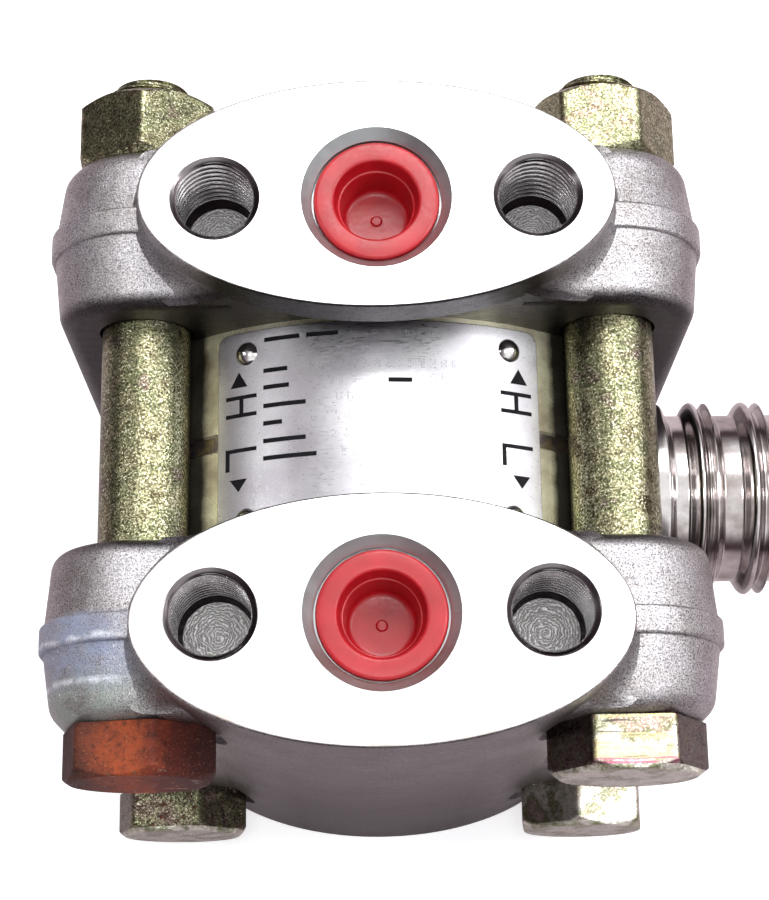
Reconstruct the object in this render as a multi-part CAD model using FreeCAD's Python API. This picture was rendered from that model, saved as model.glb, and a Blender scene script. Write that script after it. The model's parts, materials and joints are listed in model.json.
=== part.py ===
import FreeCAD, Part

import math
import os

from FreeCAD import Vector

# Meter body of a differential pressure transmitter, in millimetres.
# Frame: the origin is the middle of the four manifold mounting holes, on the plane of the two
# process faces. +Z leaves the process faces, +Y points to the high-pressure head and +X along
# the neck. The low-pressure head is the mirror image of the high-pressure head in the XZ plane.

# ---- driving dimensions ----
# process interface
PORT_SPACING = 54.0            # between the two process ports, along Y
MOUNT_SPACING = 41.3           # between the two tapped holes of one head, along X
BODY_DEPTH = 100.0             # from the process faces to the back faces

# elliptical process boss
BOSS_HALF_LENGTH = 30.6
BOSS_HALF_WIDTH = 15.65
BOSS_OFFSET = 0.7              # boss centre beyond the port centre, away from the cell
BOSS_LIP_THICKNESS = 5.6       # of the stretch that overhangs the cell
BOSS_EDGE_RADIUS = 0.4
BOSS_ROOT_RADIUS = 4.6         # concave cast root between boss and shoulder
BOSS_ROOT_START = 3.4          # how far below the face the root begins
BOSS_ROOT_BITE = 0.15          # how deep the root's upper edge lies inside the boss
BOSS_ROOT_ARC = 84.6           # degrees of the root's quarter circle that are kept
BOSS_ROOT_SECTIONS = 5

# head casting
HEAD_INNER = 15.4              # face against the cell, from the middle plane
HEAD_SEAT_OFFSET = 11.0        # face under bolt heads and nuts, beyond the port centre
LUG_RADIUS = 12.4              # of the corners about the bolts, at the parting line
HEAD_DRAFT_INNER = 0.9         # loss of half width from parting line to inner face
HEAD_DRAFT_OUTER = 1.3         # and from parting line to seat
BELT_OFFSET = 2.0              # where the raised belt starts, before the port centre
BELT_WIDTH = 3.7
BELT_HEIGHT = 0.6
BELT_EDGE_RADIUS = 0.5
INNER_EDGE_RADIUS = 2.4
OUTER_EDGE_RADIUS = 3.4
SPOTFACE_RADIUS = 11.2

# tapped mounting holes, 7/16-20 UNF, bored to the width of the thread's countersink
TAP_RADIUS = 5.8
TAP_THREAD_DEPTH = 12.8
TAP_DEPTH = 14.2
TAP_FLOOR_RADIUS = 4.6

# process ports, 1/4 NPT, with gasket recess
RECESS_RADIUS = 9.65
RECESS_FLOOR_RADIUS = 8.35
RECESS_RIM_DEPTH = 1.4
RECESS_DEPTH = 2.6
PORT_MOUTH_RADIUS = 6.85
PORT_END_RADIUS = 6.35
PORT_THREAD_DEPTH = 15.5
DRILLING_RADIUS = 3.0
DRILL_TIP_HEIGHT = 1.8
CROSS_DRILLING_OFFSET = 14.0   # of the drilling between port and chamber, from the body's axis
CHAMBER_MARGIN = 2.2           # between the pressure chamber and the gasket
CHAMBER_DEPTH = 2.6
GASKET_MARGIN = 7.1            # between the gasket and the edge of the cell
GASKET_WIDTH = 3.4
GASKET_THICKNESS = 1.8

# push-in port plugs
PLUG_FLANGE_RADIUS = 8.1
PLUG_FLANGE_THICKNESS = 1.5
PLUG_LENGTH = 9.6              # below the flange
PLUG_CLEARANCE = 0.15
PLUG_RIM_RADIUS = 5.4
PLUG_STEP_RADIUS = 4.95
PLUG_STEP_DEPTH = 2.3
PLUG_FLOOR_RADIUS = 4.25
PLUG_HOLLOW_DEPTH = 7.3
PLUG_GATE_RADIUS = 0.7
PLUG_GATE_HEIGHT = 0.25
PLUG_EDGE_RADIUS = 0.35

# vent plugs in the back faces
VENT_PLUG_LENGTH = 11.0
VENT_PLUG_SET_BACK = 0.6
VENT_SOCKET_FLATS = 6.35
VENT_SOCKET_DEPTH = 5.5

# cell
CELL_RADIUS = 37.7
CELL_RECESS_MARGIN = 0.5       # of the diaphragm's seat beyond the pressure chamber
CELL_RECESS_DEPTH = 1.4
OIL_PASSAGE_RADIUS = 1.5
SENSOR_DUCT_RADIUS = 1.0
SENSOR_DUCT_OFFSET = 6.0       # from the middle plane
OVERLOAD_MARGIN = 8.7          # between the overload diaphragm and the edge of the cell
OVERLOAD_THICKNESS = 0.6
OVERLOAD_RIM_WIDTH = 5.0
OVERLOAD_DISH_DEPTH = 0.5
WELD_HALF_WIDTH = 1.3
WELD_DEPTH = 1.6
WELD_SINK = 0.35
DIAPHRAGM_THICKNESS = 0.2
DIAPHRAGM_WAVE_HEIGHT = 0.45
DIAPHRAGM_WAVES = 3
DIAPHRAGM_RIM_WIDTH = 3.0
FILL_HOLE_RADIUS = 1.0
FILL_BALL_RADIUS = 1.55
FILL_BALL_DEPTH = 2.2
FILL_HOLE_OFFSET = 6.0

# bolts and nuts, M12
BOLT_RADIUS = 5.9
BOLT_CELL_GAP = 0.24           # between a bolt and the round of the cell
BOLT_HOLE_CLEARANCE = 0.4
HEX_FLATS = 18.0
BOLT_HEAD_HEIGHT = 6.8
NUT_HEIGHT = 9.6
NUT_THREAD_CLEARANCE = 0.03
BOLT_TIP = 3.2                 # how far a bolt stands out of its nut
BOLT_TIP_CHAMFER = 0.9
HEX_CHAMFER_DROP = 1.2
HEX_FACE_SHARE = 0.98          # of the distance across flats left flat on the end face
HEX_CHAMFER_REACH = 0.2        # how far the chamfer cone runs out beyond the corners

# nameplate
PLATE_THICKNESS = 0.8
PLATE_HALF_CHORD = 21.3
PLATE_HEAD_GAP = 0.9           # between the plate and each head
PLATE_CORNER_RADIUS = 1.5
RIVET_SIDE_MARGIN = 3.9        # from the plate's straight edges
RIVET_END_MARGIN = 3.1         # and from its curved edges
RIVET_HEAD_RADIUS = 1.6
RIVET_HEAD_HEIGHT = 0.9
RIVET_SHANK_RADIUS = 0.95
RIVET_SHANK_LENGTH = 4.5

# neck
NECK_HEAD_GAP = 1.5            # between the neck's collar and each head
NECK_POCKET_DEPTH = 6.7        # of the neck's seat in the cell
NECK_COLLAR_LENGTH = 3.8       # of the collar beyond the cell
NECK_ROOT_DEPTH = 1.7          # of the waist below the collar
NECK_WAIST_LENGTH = 2.7        # from the collar to the first ridge
NECK_RIDGE_HEIGHT = 2.0
NECK_RIDGE_PITCH = 7.6
NECK_RIDGE_COUNT = 3
NECK_END_STEP = 0.9            # of the plain end below the collar
NECK_END_LENGTH = 9.0
NECK_END_CHAMFER = 1.0
NECK_WALL = 3.5                # round the bore, at the plain end
NECK_WEB = 1.0                 # of the bore's floor behind the collar's end
NECK_WELD_WIDTH = 1.6
NECK_WELD_HEIGHT = 1.3
NECK_WELD_GAP = 0.3            # between the weld and the heads

# one double ridge of the neck: distance along it, and share of the ridge height
NECK_RIDGE_PROFILE = ((0.0, 0.0), (0.5, 0.7), (1.3, 1.0), (1.8, 1.0), (2.6, 0.15),
                      (3.0, 0.15), (3.3, 1.0), (3.8, 1.0), (4.6, 0.0))

# sensor
HEADER_OFFSET = 2.1            # from the floor of the neck's bore
HEADER_THICKNESS = 5.0
HEADER_CLEARANCE = 0.02
CHIP_SIZE = 4.0
CHIP_THICKNESS = 1.0
PIN_COUNT = 8
PIN_RADIUS = 0.4
PIN_CIRCLE_RADIUS = 6.0
PIN_INNER_LENGTH = 0.8
PIN_OUTER_LENGTH = 7.0

# how far a cutting tool runs out past the surface that it cuts
OVERRUN = 1.0

# ---- values worked out from the driving dimensions ----
AXIS_Z = -BODY_DEPTH / 2.0
PORT_Y = PORT_SPACING / 2.0
BOSS_Y = PORT_Y + BOSS_OFFSET
BOLT_REACH = (CELL_RADIUS + BOLT_RADIUS + BOLT_CELL_GAP) * math.sqrt(0.5)
HEAD_HALF_WIDTH = BOLT_REACH + LUG_RADIUS
HEAD_SEAT = PORT_Y + HEAD_SEAT_OFFSET
BELT_START = PORT_Y - BELT_OFFSET
CROSS_DRILLING_DEPTH = BODY_DEPTH / 2.0 - CROSS_DRILLING_OFFSET
GASKET_OUTER_RADIUS = CELL_RADIUS - GASKET_MARGIN
GASKET_INNER_RADIUS = GASKET_OUTER_RADIUS - GASKET_WIDTH
CHAMBER_RADIUS = GASKET_INNER_RADIUS - CHAMBER_MARGIN
CELL_RECESS_RADIUS = CHAMBER_RADIUS + CELL_RECESS_MARGIN
OVERLOAD_RADIUS = CELL_RADIUS - OVERLOAD_MARGIN
OVERLOAD_DISH_RADIUS = OVERLOAD_RADIUS - OVERLOAD_RIM_WIDTH
HEX_CORNER = HEX_FLATS / 2.0 / math.cos(math.pi / 6.0)
PLATE_RADIUS = CELL_RADIUS + PLATE_THICKNESS
PLATE_HALF_LENGTH = HEAD_INNER - PLATE_HEAD_GAP
RIVET_X = PLATE_HALF_CHORD - RIVET_SIDE_MARGIN
RIVET_Y = PLATE_HALF_LENGTH - RIVET_END_MARGIN
PORT_TAPER = (PORT_MOUTH_RADIUS - PORT_END_RADIUS) / (PORT_THREAD_DEPTH - RECESS_DEPTH)
NECK_COLLAR_RADIUS = HEAD_INNER - NECK_HEAD_GAP
NECK_ROOT_RADIUS = NECK_COLLAR_RADIUS - NECK_ROOT_DEPTH
NECK_END_RADIUS = NECK_COLLAR_RADIUS - NECK_END_STEP
NECK_BORE_RADIUS = NECK_END_RADIUS - NECK_WALL
NECK_POCKET_END = CELL_RADIUS - NECK_POCKET_DEPTH
NECK_COLLAR_END = CELL_RADIUS + NECK_COLLAR_LENGTH
NECK_RIDGE_START = NECK_COLLAR_END + NECK_WAIST_LENGTH
NECK_FLOOR = NECK_COLLAR_END - NECK_WEB
HEADER_START = NECK_FLOOR + HEADER_OFFSET

# bolt positions: name, side of the X axis, side of the Z axis, turn of the head, turn of the nut
BOLTS = (
    ("front_left", -1, 1, 13.4, 30.4),
    ("front_right", 1, 1, 0.4, 4.4),
    ("back_left", -1, -1, 12.5, 41.0),
    ("back_right", 1, -1, 37.2, 12.0),
)


# ---- helpers ----
def x_rod(radius, start, end, y=0.0, z=AXIS_Z):
    """Cylinder along X from start to end."""
    return Part.makeCylinder(radius, end - start, Vector(start, y, z), Vector(1, 0, 0))


def y_rod(radius, start, end, x=0.0, z=AXIS_Z):
    """Cylinder along Y from start to end."""
    return Part.makeCylinder(radius, end - start, Vector(x, start, z), Vector(0, 1, 0))


def turned_z(profile, x, y):
    """Solid of revolution about a line along Z; profile is a list of (radius, z)."""
    points = [Vector(x + r, y, z) for r, z in profile]
    face = Part.Face(Part.makePolygon(points + points[:1]))
    return face.revolve(Vector(x, y, 0), Vector(0, 0, 1), 360)


def turned_x(profile):
    """Solid of revolution about the neck's axis; profile is a list of (x, radius)."""
    points = [Vector(x, 0, AXIS_Z + r) for x, r in profile]
    face = Part.Face(Part.makePolygon(points + points[:1]))
    return face.revolve(Vector(0, 0, AXIS_Z), Vector(1, 0, 0), 360)


def turned_y(profile, x=0.0, z=AXIS_Z):
    """Solid of revolution about a line along Y; profile is a list of (radius, y)."""
    points = [Vector(x + r, y, z) for r, y in profile]
    face = Part.Face(Part.makePolygon(points + points[:1]))
    return face.revolve(Vector(x, 0, z), Vector(0, 1, 0), 360)


def box(x0, x1, y0, y1, z0, z1):
    """Box between two corners."""
    return Part.makeBox(x1 - x0, y1 - y0, z1 - z0, Vector(x0, y0, z0))


def low_side(shape):
    """The same piece on the low-pressure side."""
    return shape.mirror(Vector(0, 0, 0), Vector(0, 1, 0))


def edges_at_y(shape, y):
    """Edges that lie wholly in the plane of this y."""
    return [e for e in shape.Edges if all(abs(v.Point.y - y) < 1e-6 for v in e.Vertexes)]


def edges_at_z(shape, z):
    """Edges that lie wholly in the plane of this z."""
    return [e for e in shape.Edges if all(abs(v.Point.z - z) < 1e-6 for v in e.Vertexes)]


# ---- process head ----
def head_outline(half_width, y):
    """Rounded square whose corners are arcs about the bolt axes."""
    radius = half_width - BOLT_REACH
    edges = []
    for quarter in range(4):
        turn = math.radians(90.0 * quarter)

        def place(u, w):
            """Point of the right-hand side and its corner, turned by quarters."""
            return Vector(u * math.cos(turn) - w * math.sin(turn), y,
                          AXIS_Z + u * math.sin(turn) + w * math.cos(turn))

        diagonal = radius * math.sqrt(0.5)
        side_start = place(half_width, -BOLT_REACH)
        corner_start = place(half_width, BOLT_REACH)
        corner_middle = place(BOLT_REACH + diagonal, BOLT_REACH + diagonal)
        corner_end = place(BOLT_REACH, half_width)
        edges.append(Part.LineSegment(side_start, corner_start).toShape())
        edges.append(Part.Arc(corner_start, corner_middle, corner_end).toShape())
    return Part.Wire(edges)


def drafted_block(half_a, y_a, half_b, y_b, rounded_y, radius):
    """Tapered block between two outlines, with one end's edge rounded."""
    block = Part.makeLoft([head_outline(half_a, y_a), head_outline(half_b, y_b)], True, True)
    return block.makeFillet(radius, edges_at_y(block, rounded_y))


def belt():
    """Raised belt along the parting line."""
    wire = head_outline(HEAD_HALF_WIDTH + BELT_HEIGHT, BELT_START)
    ring = Part.Face(wire).extrude(Vector(0, BELT_WIDTH, 0))
    edges = edges_at_y(ring, BELT_START) + edges_at_y(ring, BELT_START + BELT_WIDTH)
    return ring.makeFillet(BELT_EDGE_RADIUS, edges)


def boss_ellipse(grow, z):
    """Wire of the boss outline at height z, grown sideways by this much."""
    centre = Vector(0, BOSS_Y, z)
    major = centre + Vector(BOSS_HALF_LENGTH + grow, 0, 0)
    minor = centre + Vector(0, BOSS_HALF_WIDTH + grow, 0)
    return Part.Wire([Part.Ellipse(major, minor, centre).toShape()])


def boss_column():
    """Elliptical boss, one on each face, joined through the whole depth of the head."""
    column = Part.Face(boss_ellipse(0, 0)).extrude(Vector(0, 0, -BODY_DEPTH))
    rims = edges_at_z(column, 0) + edges_at_z(column, -BODY_DEPTH)
    column = column.makeFillet(BOSS_EDGE_RADIUS, rims)
    reach = 2.0 * BOSS_HALF_LENGTH
    gap = box(-reach, reach, -reach, HEAD_INNER, BOSS_LIP_THICKNESS - BODY_DEPTH, -BOSS_LIP_THICKNESS)
    return column.cut(gap)


def boss_root():
    """Concave cast root of the boss, kept between the head's inner face and its seat."""
    sections = []
    for i in range(BOSS_ROOT_SECTIONS):
        angle = math.radians(BOSS_ROOT_ARC * i / (BOSS_ROOT_SECTIONS - 1))
        drop = BOSS_ROOT_RADIUS * math.sin(angle)
        grow = BOSS_ROOT_RADIUS - math.sqrt(BOSS_ROOT_RADIUS ** 2 - drop ** 2) - BOSS_ROOT_BITE
        sections.append(boss_ellipse(grow, -BOSS_ROOT_START - drop))
    flare = Part.makeLoft(sections, True, False)
    depth = BOSS_ROOT_START + BOSS_ROOT_RADIUS
    keep = box(-HEAD_HALF_WIDTH, HEAD_HALF_WIDTH, HEAD_INNER, HEAD_SEAT - OUTER_EDGE_RADIUS, -2 * depth, 0)
    front = flare.common(keep)
    back = front.mirror(Vector(0, 0, AXIS_Z), Vector(0, 0, 1))
    return front, back


def port_cutter():
    """Process port: gasket recess, tapered thread bore and drilling to the cross drilling."""
    tip = PORT_THREAD_DEPTH + DRILL_TIP_HEIGHT
    return turned_z([
        (0, 0),
        (RECESS_RADIUS, 0),
        (RECESS_FLOOR_RADIUS, -RECESS_RIM_DEPTH),
        (RECESS_FLOOR_RADIUS, -RECESS_DEPTH),
        (PORT_MOUTH_RADIUS, -RECESS_DEPTH),
        (PORT_END_RADIUS, -PORT_THREAD_DEPTH),
        (DRILLING_RADIUS, -tip),
        (DRILLING_RADIUS, -CROSS_DRILLING_DEPTH),
        (0, -CROSS_DRILLING_DEPTH - DRILL_TIP_HEIGHT),
    ], 0, PORT_Y)


def vent_cutter():
    """Vent port in the back face: the same thread and drilling with no gasket recess."""
    tip = PORT_THREAD_DEPTH + DRILL_TIP_HEIGHT
    front = turned_z([
        (0, 0),
        (PORT_MOUTH_RADIUS, 0),
        (PORT_END_RADIUS, -PORT_THREAD_DEPTH),
        (DRILLING_RADIUS, -tip),
        (DRILLING_RADIUS, -CROSS_DRILLING_DEPTH),
        (0, -CROSS_DRILLING_DEPTH - DRILL_TIP_HEIGHT),
    ], 0, PORT_Y)
    return front.mirror(Vector(0, 0, AXIS_Z), Vector(0, 0, 1))


def tapped_hole(x):
    """Blind mounting hole: thread bore and run-out to a flat floor."""
    return turned_z([
        (0, 0),
        (TAP_RADIUS, 0),
        (TAP_RADIUS, -TAP_THREAD_DEPTH),
        (TAP_FLOOR_RADIUS, -TAP_DEPTH),
        (0, -TAP_DEPTH),
    ], x, PORT_Y)


def head_high():
    """Process head casting of the high-pressure side with all its machining."""
    belt_end = BELT_START + BELT_WIDTH
    inner = drafted_block(HEAD_HALF_WIDTH - HEAD_DRAFT_INNER, HEAD_INNER,
                          HEAD_HALF_WIDTH, BELT_START, HEAD_INNER, INNER_EDGE_RADIUS)
    outer = drafted_block(HEAD_HALF_WIDTH, belt_end,
                          HEAD_HALF_WIDTH - HEAD_DRAFT_OUTER, HEAD_SEAT, HEAD_SEAT, OUTER_EDGE_RADIUS)
    front_root, back_root = boss_root()
    casting = inner.multiFuse([belt(), outer, boss_column(), front_root, back_root])

    cross_z = CROSS_DRILLING_DEPTH
    cutters = [port_cutter(), vent_cutter()]
    cutters += [tapped_hole(side * MOUNT_SPACING / 2.0) for side in (-1, 1)]
    cutters.append(y_rod(CHAMBER_RADIUS, 0, HEAD_INNER + CHAMBER_DEPTH))
    for z in (-cross_z, cross_z - BODY_DEPTH):
        cutters.append(y_rod(DRILLING_RADIUS, HEAD_INNER, PORT_Y, 0, z))
    groove = y_rod(GASKET_OUTER_RADIUS, 0, HEAD_INNER + GASKET_THICKNESS)
    cutters.append(groove.cut(y_rod(GASKET_INNER_RADIUS, 0, HEAD_INNER + GASKET_THICKNESS)))
    boss_end = BOSS_Y + BOSS_HALF_WIDTH + OVERRUN
    for _, side_x, side_z, _, _ in BOLTS:
        x = side_x * BOLT_REACH
        z = AXIS_Z + side_z * BOLT_REACH
        cutters.append(y_rod(BOLT_RADIUS + BOLT_HOLE_CLEARANCE, 0, boss_end, x, z))
        cutters.append(y_rod(SPOTFACE_RADIUS, HEAD_SEAT, boss_end, x, z))
    return casting.cut(cutters)


# ---- bolts, nuts, plugs ----
def hexagon(x, z, y, turn):
    """Hexagonal wire about a line along Y, its first corner turned from +X towards +Z."""
    points = []
    for i in range(6):
        angle = math.radians(turn + 60.0 * i)
        points.append(Vector(x + HEX_CORNER * math.cos(angle), y, z + HEX_CORNER * math.sin(angle)))
    return Part.makePolygon(points + points[:1])


def hex_block(x, z, start, end, turn, chamfer_start, chamfer_end):
    """Hexagonal block along Y with its corners turned away at one or both ends."""
    block = Part.Face(hexagon(x, z, start, turn)).extrude(Vector(0, end - start, 0))
    flat = HEX_FLATS / 2.0 * HEX_FACE_SHARE
    wide = HEX_CORNER + HEX_CHAMFER_REACH
    drop = HEX_CHAMFER_DROP
    profile = [(0, start)]
    profile += [(flat, start), (wide, start + drop)] if chamfer_start else [(wide, start)]
    profile += [(wide, end - drop), (flat, end)] if chamfer_end else [(wide, end)]
    profile += [(0, end)]
    return block.common(turned_y(profile, x, z))


def head_bolt(x, z, turn):
    """Hex bolt from the low-pressure seat through both heads and out of its nut."""
    tip = HEAD_SEAT + NUT_HEIGHT + BOLT_TIP
    small = BOLT_RADIUS - BOLT_TIP_CHAMFER
    shank = turned_y([(0, -HEAD_SEAT), (BOLT_RADIUS, -HEAD_SEAT),
                      (BOLT_RADIUS, tip - BOLT_TIP_CHAMFER), (small, tip), (0, tip)], x, z)
    head = hex_block(x, z, -HEAD_SEAT - BOLT_HEAD_HEIGHT, -HEAD_SEAT, turn, True, False)
    return head.fuse(shank).removeSplitter()


def head_nut(x, z, turn):
    """Hex nut on the high-pressure seat."""
    end = HEAD_SEAT + NUT_HEIGHT
    block = hex_block(x, z, HEAD_SEAT, end, turn, True, True)
    return block.cut(y_rod(BOLT_RADIUS + NUT_THREAD_CLEARANCE, HEAD_SEAT - OVERRUN, end + OVERRUN, x, z))


def port_plug():
    """Hollow push-in plug; its flange rests on the floor of the gasket recess."""
    top = -RECESS_DEPTH + PLUG_FLANGE_THICKNESS
    seat = -RECESS_DEPTH
    bottom = seat - PLUG_LENGTH
    neck = PORT_MOUTH_RADIUS - PLUG_CLEARANCE
    end = neck - PORT_TAPER * PLUG_LENGTH
    floor = top - PLUG_HOLLOW_DEPTH
    body = turned_z([
        (0, bottom),
        (end, bottom),
        (neck, seat),
        (PLUG_FLANGE_RADIUS, seat),
        (PLUG_FLANGE_RADIUS, top),
        (PLUG_RIM_RADIUS, top),
        (PLUG_STEP_RADIUS, top - PLUG_STEP_DEPTH),
        (PLUG_FLOOR_RADIUS, floor),
        (PLUG_GATE_RADIUS, floor),
        (PLUG_GATE_RADIUS, floor + PLUG_GATE_HEIGHT),
        (0, floor + PLUG_GATE_HEIGHT),
    ], 0, PORT_Y)
    return body.makeFillet(PLUG_EDGE_RADIUS, edges_at_z(body, top))


def vent_plug():
    """Socket-headed taper plug, set just below the back face."""
    back = -BODY_DEPTH + VENT_PLUG_SET_BACK
    wide = PORT_MOUTH_RADIUS - PORT_TAPER * VENT_PLUG_SET_BACK
    narrow = wide - PORT_TAPER * VENT_PLUG_LENGTH
    body = turned_z([(0, back), (wide, back), (narrow, back + VENT_PLUG_LENGTH),
                     (0, back + VENT_PLUG_LENGTH)], 0, PORT_Y)
    corner = VENT_SOCKET_FLATS / 2.0 / math.cos(math.pi / 6.0)
    points = [Vector(corner * math.cos(math.pi / 3 * i), PORT_Y + corner * math.sin(math.pi / 3 * i), back)
              for i in range(6)]
    socket = Part.Face(Part.makePolygon(points + points[:1])).extrude(Vector(0, 0, VENT_SOCKET_DEPTH))
    return body.cut(socket)


def head_gasket():
    """Flat ring in the head's groove, against the cell."""
    ring = y_rod(GASKET_OUTER_RADIUS, HEAD_INNER, HEAD_INNER + GASKET_THICKNESS)
    return ring.cut(y_rod(GASKET_INNER_RADIUS, HEAD_INNER, HEAD_INNER + GASKET_THICKNESS))


# ---- cell ----
def cell_half():
    """Half of the welded cell, on the high-pressure side."""
    recess = HEAD_INNER - CELL_RECESS_DEPTH
    body = turned_y([
        (0, 0),
        (CELL_RADIUS - WELD_DEPTH, 0),
        (CELL_RADIUS, WELD_HALF_WIDTH),
        (CELL_RADIUS, HEAD_INNER),
        (CELL_RECESS_RADIUS, HEAD_INNER),
        (CELL_RECESS_RADIUS, recess),
        (0, recess),
    ])
    clamp = y_rod(OVERLOAD_RADIUS, 0, OVERLOAD_THICKNESS / 2.0)
    dish = turned_y([(0, 0), (OVERLOAD_DISH_RADIUS, 0),
                     (OVERLOAD_DISH_RADIUS, OVERLOAD_THICKNESS / 2.0),
                     (0, OVERLOAD_THICKNESS / 2.0 + OVERLOAD_DISH_DEPTH)])
    oil = y_rod(OIL_PASSAGE_RADIUS, 0, HEAD_INNER)
    duct = x_rod(SENSOR_DUCT_RADIUS, 0, CELL_RADIUS, SENSOR_DUCT_OFFSET)
    pocket = x_rod(NECK_COLLAR_RADIUS, NECK_POCKET_END, CELL_RADIUS + OVERRUN)
    bottom = Vector(0, FILL_HOLE_OFFSET, AXIS_Z - CELL_RADIUS)
    fill = Part.makeCylinder(FILL_HOLE_RADIUS, CELL_RADIUS, bottom)
    counterbore = Part.makeCylinder(FILL_BALL_RADIUS, FILL_BALL_DEPTH + FILL_BALL_RADIUS, bottom)
    cutters = [clamp, dish, oil, duct, pocket, fill, counterbore]
    for side in (-1, 1):
        cutters.append(rivet(side, 1).common(y_rod(CELL_RADIUS, 0, HEAD_INNER)))
    return body.cut(cutters)


def fill_ball():
    """Steel ball that seals the oil fill hole."""
    z = AXIS_Z - CELL_RADIUS + FILL_BALL_DEPTH
    return Part.makeSphere(FILL_BALL_RADIUS, Vector(0, FILL_HOLE_OFFSET, z))


def girth_weld():
    """Weld bead that fills the groove between the two halves, cut away at the neck."""
    inner = CELL_RADIUS - WELD_DEPTH
    outer = CELL_RADIUS - WELD_SINK
    half = WELD_HALF_WIDTH * (WELD_DEPTH - WELD_SINK) / WELD_DEPTH
    bead = turned_y([(inner, 0), (outer, half), (outer, -half)])
    return bead.cut(x_rod(NECK_COLLAR_RADIUS, NECK_POCKET_END, CELL_RADIUS + OVERRUN))


def barrier_diaphragm():
    """Thin corrugated disc welded into the cell's shallow seat."""
    base = HEAD_INNER - DIAPHRAGM_THICKNESS
    flat_start = CELL_RECESS_RADIUS - DIAPHRAGM_RIM_WIDTH
    hub = flat_start / (2.0 * DIAPHRAGM_WAVES + 1.0)
    lower = [(0, base)]
    for i in range(DIAPHRAGM_WAVES):
        lower.append((hub * (2 * i + 1), base))
        lower.append((hub * (2 * i + 2), base - DIAPHRAGM_WAVE_HEIGHT))
    lower += [(flat_start, base), (CELL_RECESS_RADIUS, base)]
    upper = [(r, y + DIAPHRAGM_THICKNESS) for r, y in reversed(lower)]
    return turned_y(lower + upper)


def overload_diaphragm():
    """Stiff disc clamped between the two halves."""
    half = OVERLOAD_THICKNESS / 2.0
    return y_rod(OVERLOAD_RADIUS, -half, half)


# ---- nameplate ----
def rivet(side_x, side_y):
    """Domed rivet standing square to the curved plate."""
    tilt = math.degrees(math.asin(RIVET_X / PLATE_RADIUS))
    shank = Part.makeCylinder(RIVET_SHANK_RADIUS, RIVET_SHANK_LENGTH, Vector(0, 0, -RIVET_SHANK_LENGTH))
    sphere = (RIVET_HEAD_RADIUS ** 2 + RIVET_HEAD_HEIGHT ** 2) / (2.0 * RIVET_HEAD_HEIGHT)
    dome = Part.makeSphere(sphere, Vector(0, 0, RIVET_HEAD_HEIGHT - sphere))
    dome = dome.common(Part.makeCylinder(RIVET_HEAD_RADIUS + OVERRUN, RIVET_HEAD_HEIGHT + OVERRUN))
    pin = shank.fuse(dome)
    pin.translate(Vector(0, side_y * RIVET_Y, PLATE_RADIUS))
    pin.rotate(Vector(0, 0, 0), Vector(0, 1, 0), side_x * tilt)
    pin.translate(Vector(0, 0, AXIS_Z))
    return pin


def nameplate():
    """Plate curved round the front of the cell, with its corners rounded."""
    half = PLATE_HALF_LENGTH
    shell = y_rod(PLATE_RADIUS, -half, half).cut(y_rod(CELL_RADIUS, -half, half))
    blank = box(-PLATE_HALF_CHORD, PLATE_HALF_CHORD, -half, half, AXIS_Z, 0)
    upright = [e for e in blank.Edges if e.Vertexes[0].Z != e.Vertexes[1].Z]
    plate = shell.common(blank.makeFillet(PLATE_CORNER_RADIUS, upright))
    return plate.cut([rivet(sx, sy) for sx in (-1, 1) for sy in (-1, 1)])


def nameplate_rivets():
    """The four rivets of the nameplate as separate solids."""
    return Part.makeCompound([rivet(sx, sy) for sx in (-1, 1) for sy in (-1, 1)])


# ---- neck and sensor ----
def neck():
    """Turned neck that carries the sensor and, beyond its end, the electronics."""
    root = NECK_ROOT_RADIUS
    profile = [(NECK_POCKET_END, 0), (NECK_POCKET_END, NECK_COLLAR_RADIUS),
               (NECK_COLLAR_END, NECK_COLLAR_RADIUS), (NECK_COLLAR_END, root)]
    for i in range(NECK_RIDGE_COUNT):
        start = NECK_RIDGE_START + i * NECK_RIDGE_PITCH
        profile += [(start + along, root + share * NECK_RIDGE_HEIGHT) for along, share in NECK_RIDGE_PROFILE]
    end_start = NECK_RIDGE_START + NECK_RIDGE_COUNT * NECK_RIDGE_PITCH
    end = end_start + NECK_END_LENGTH
    profile += [(end_start, root), (end_start, NECK_END_RADIUS),
                (end - NECK_END_CHAMFER, NECK_END_RADIUS), (end, NECK_END_RADIUS - NECK_END_CHAMFER),
                (end, NECK_BORE_RADIUS), (NECK_FLOOR, NECK_BORE_RADIUS), (NECK_FLOOR, 0)]
    body = turned_x(profile)
    ducts = [x_rod(SENSOR_DUCT_RADIUS, NECK_POCKET_END - OVERRUN, NECK_FLOOR + OVERRUN,
                   side * SENSOR_DUCT_OFFSET) for side in (-1, 1)]
    return body.cut(ducts)


def neck_weld():
    """Saddle-shaped bead between the neck's collar and the round of the cell."""
    outer = NECK_COLLAR_RADIUS + NECK_WELD_WIDTH
    far = CELL_RADIUS + 2 * NECK_WELD_HEIGHT
    tube = x_rod(outer, 0, far).cut(x_rod(NECK_COLLAR_RADIUS, 0, far))
    reach = HEAD_INNER - NECK_WELD_GAP
    shell = y_rod(CELL_RADIUS + NECK_WELD_HEIGHT, -reach, reach).cut(y_rod(CELL_RADIUS, -reach, reach))
    return tube.common(shell)


def sensor_header():
    """Glass-sealed header disc in the neck's bore, with its pin holes."""
    end = HEADER_START + HEADER_THICKNESS
    disc = x_rod(NECK_BORE_RADIUS - HEADER_CLEARANCE, HEADER_START, end)
    return disc.cut([x_rod(PIN_RADIUS, HEADER_START - OVERRUN, end + OVERRUN, y, z) for y, z in pin_places()])


def pin_places():
    """Centres of the header pins in the plane across the neck."""
    places = []
    for i in range(PIN_COUNT):
        angle = 2 * math.pi * (i + 0.5) / PIN_COUNT
        places.append((PIN_CIRCLE_RADIUS * math.cos(angle),
                       AXIS_Z + PIN_CIRCLE_RADIUS * math.sin(angle)))
    return places


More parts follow.
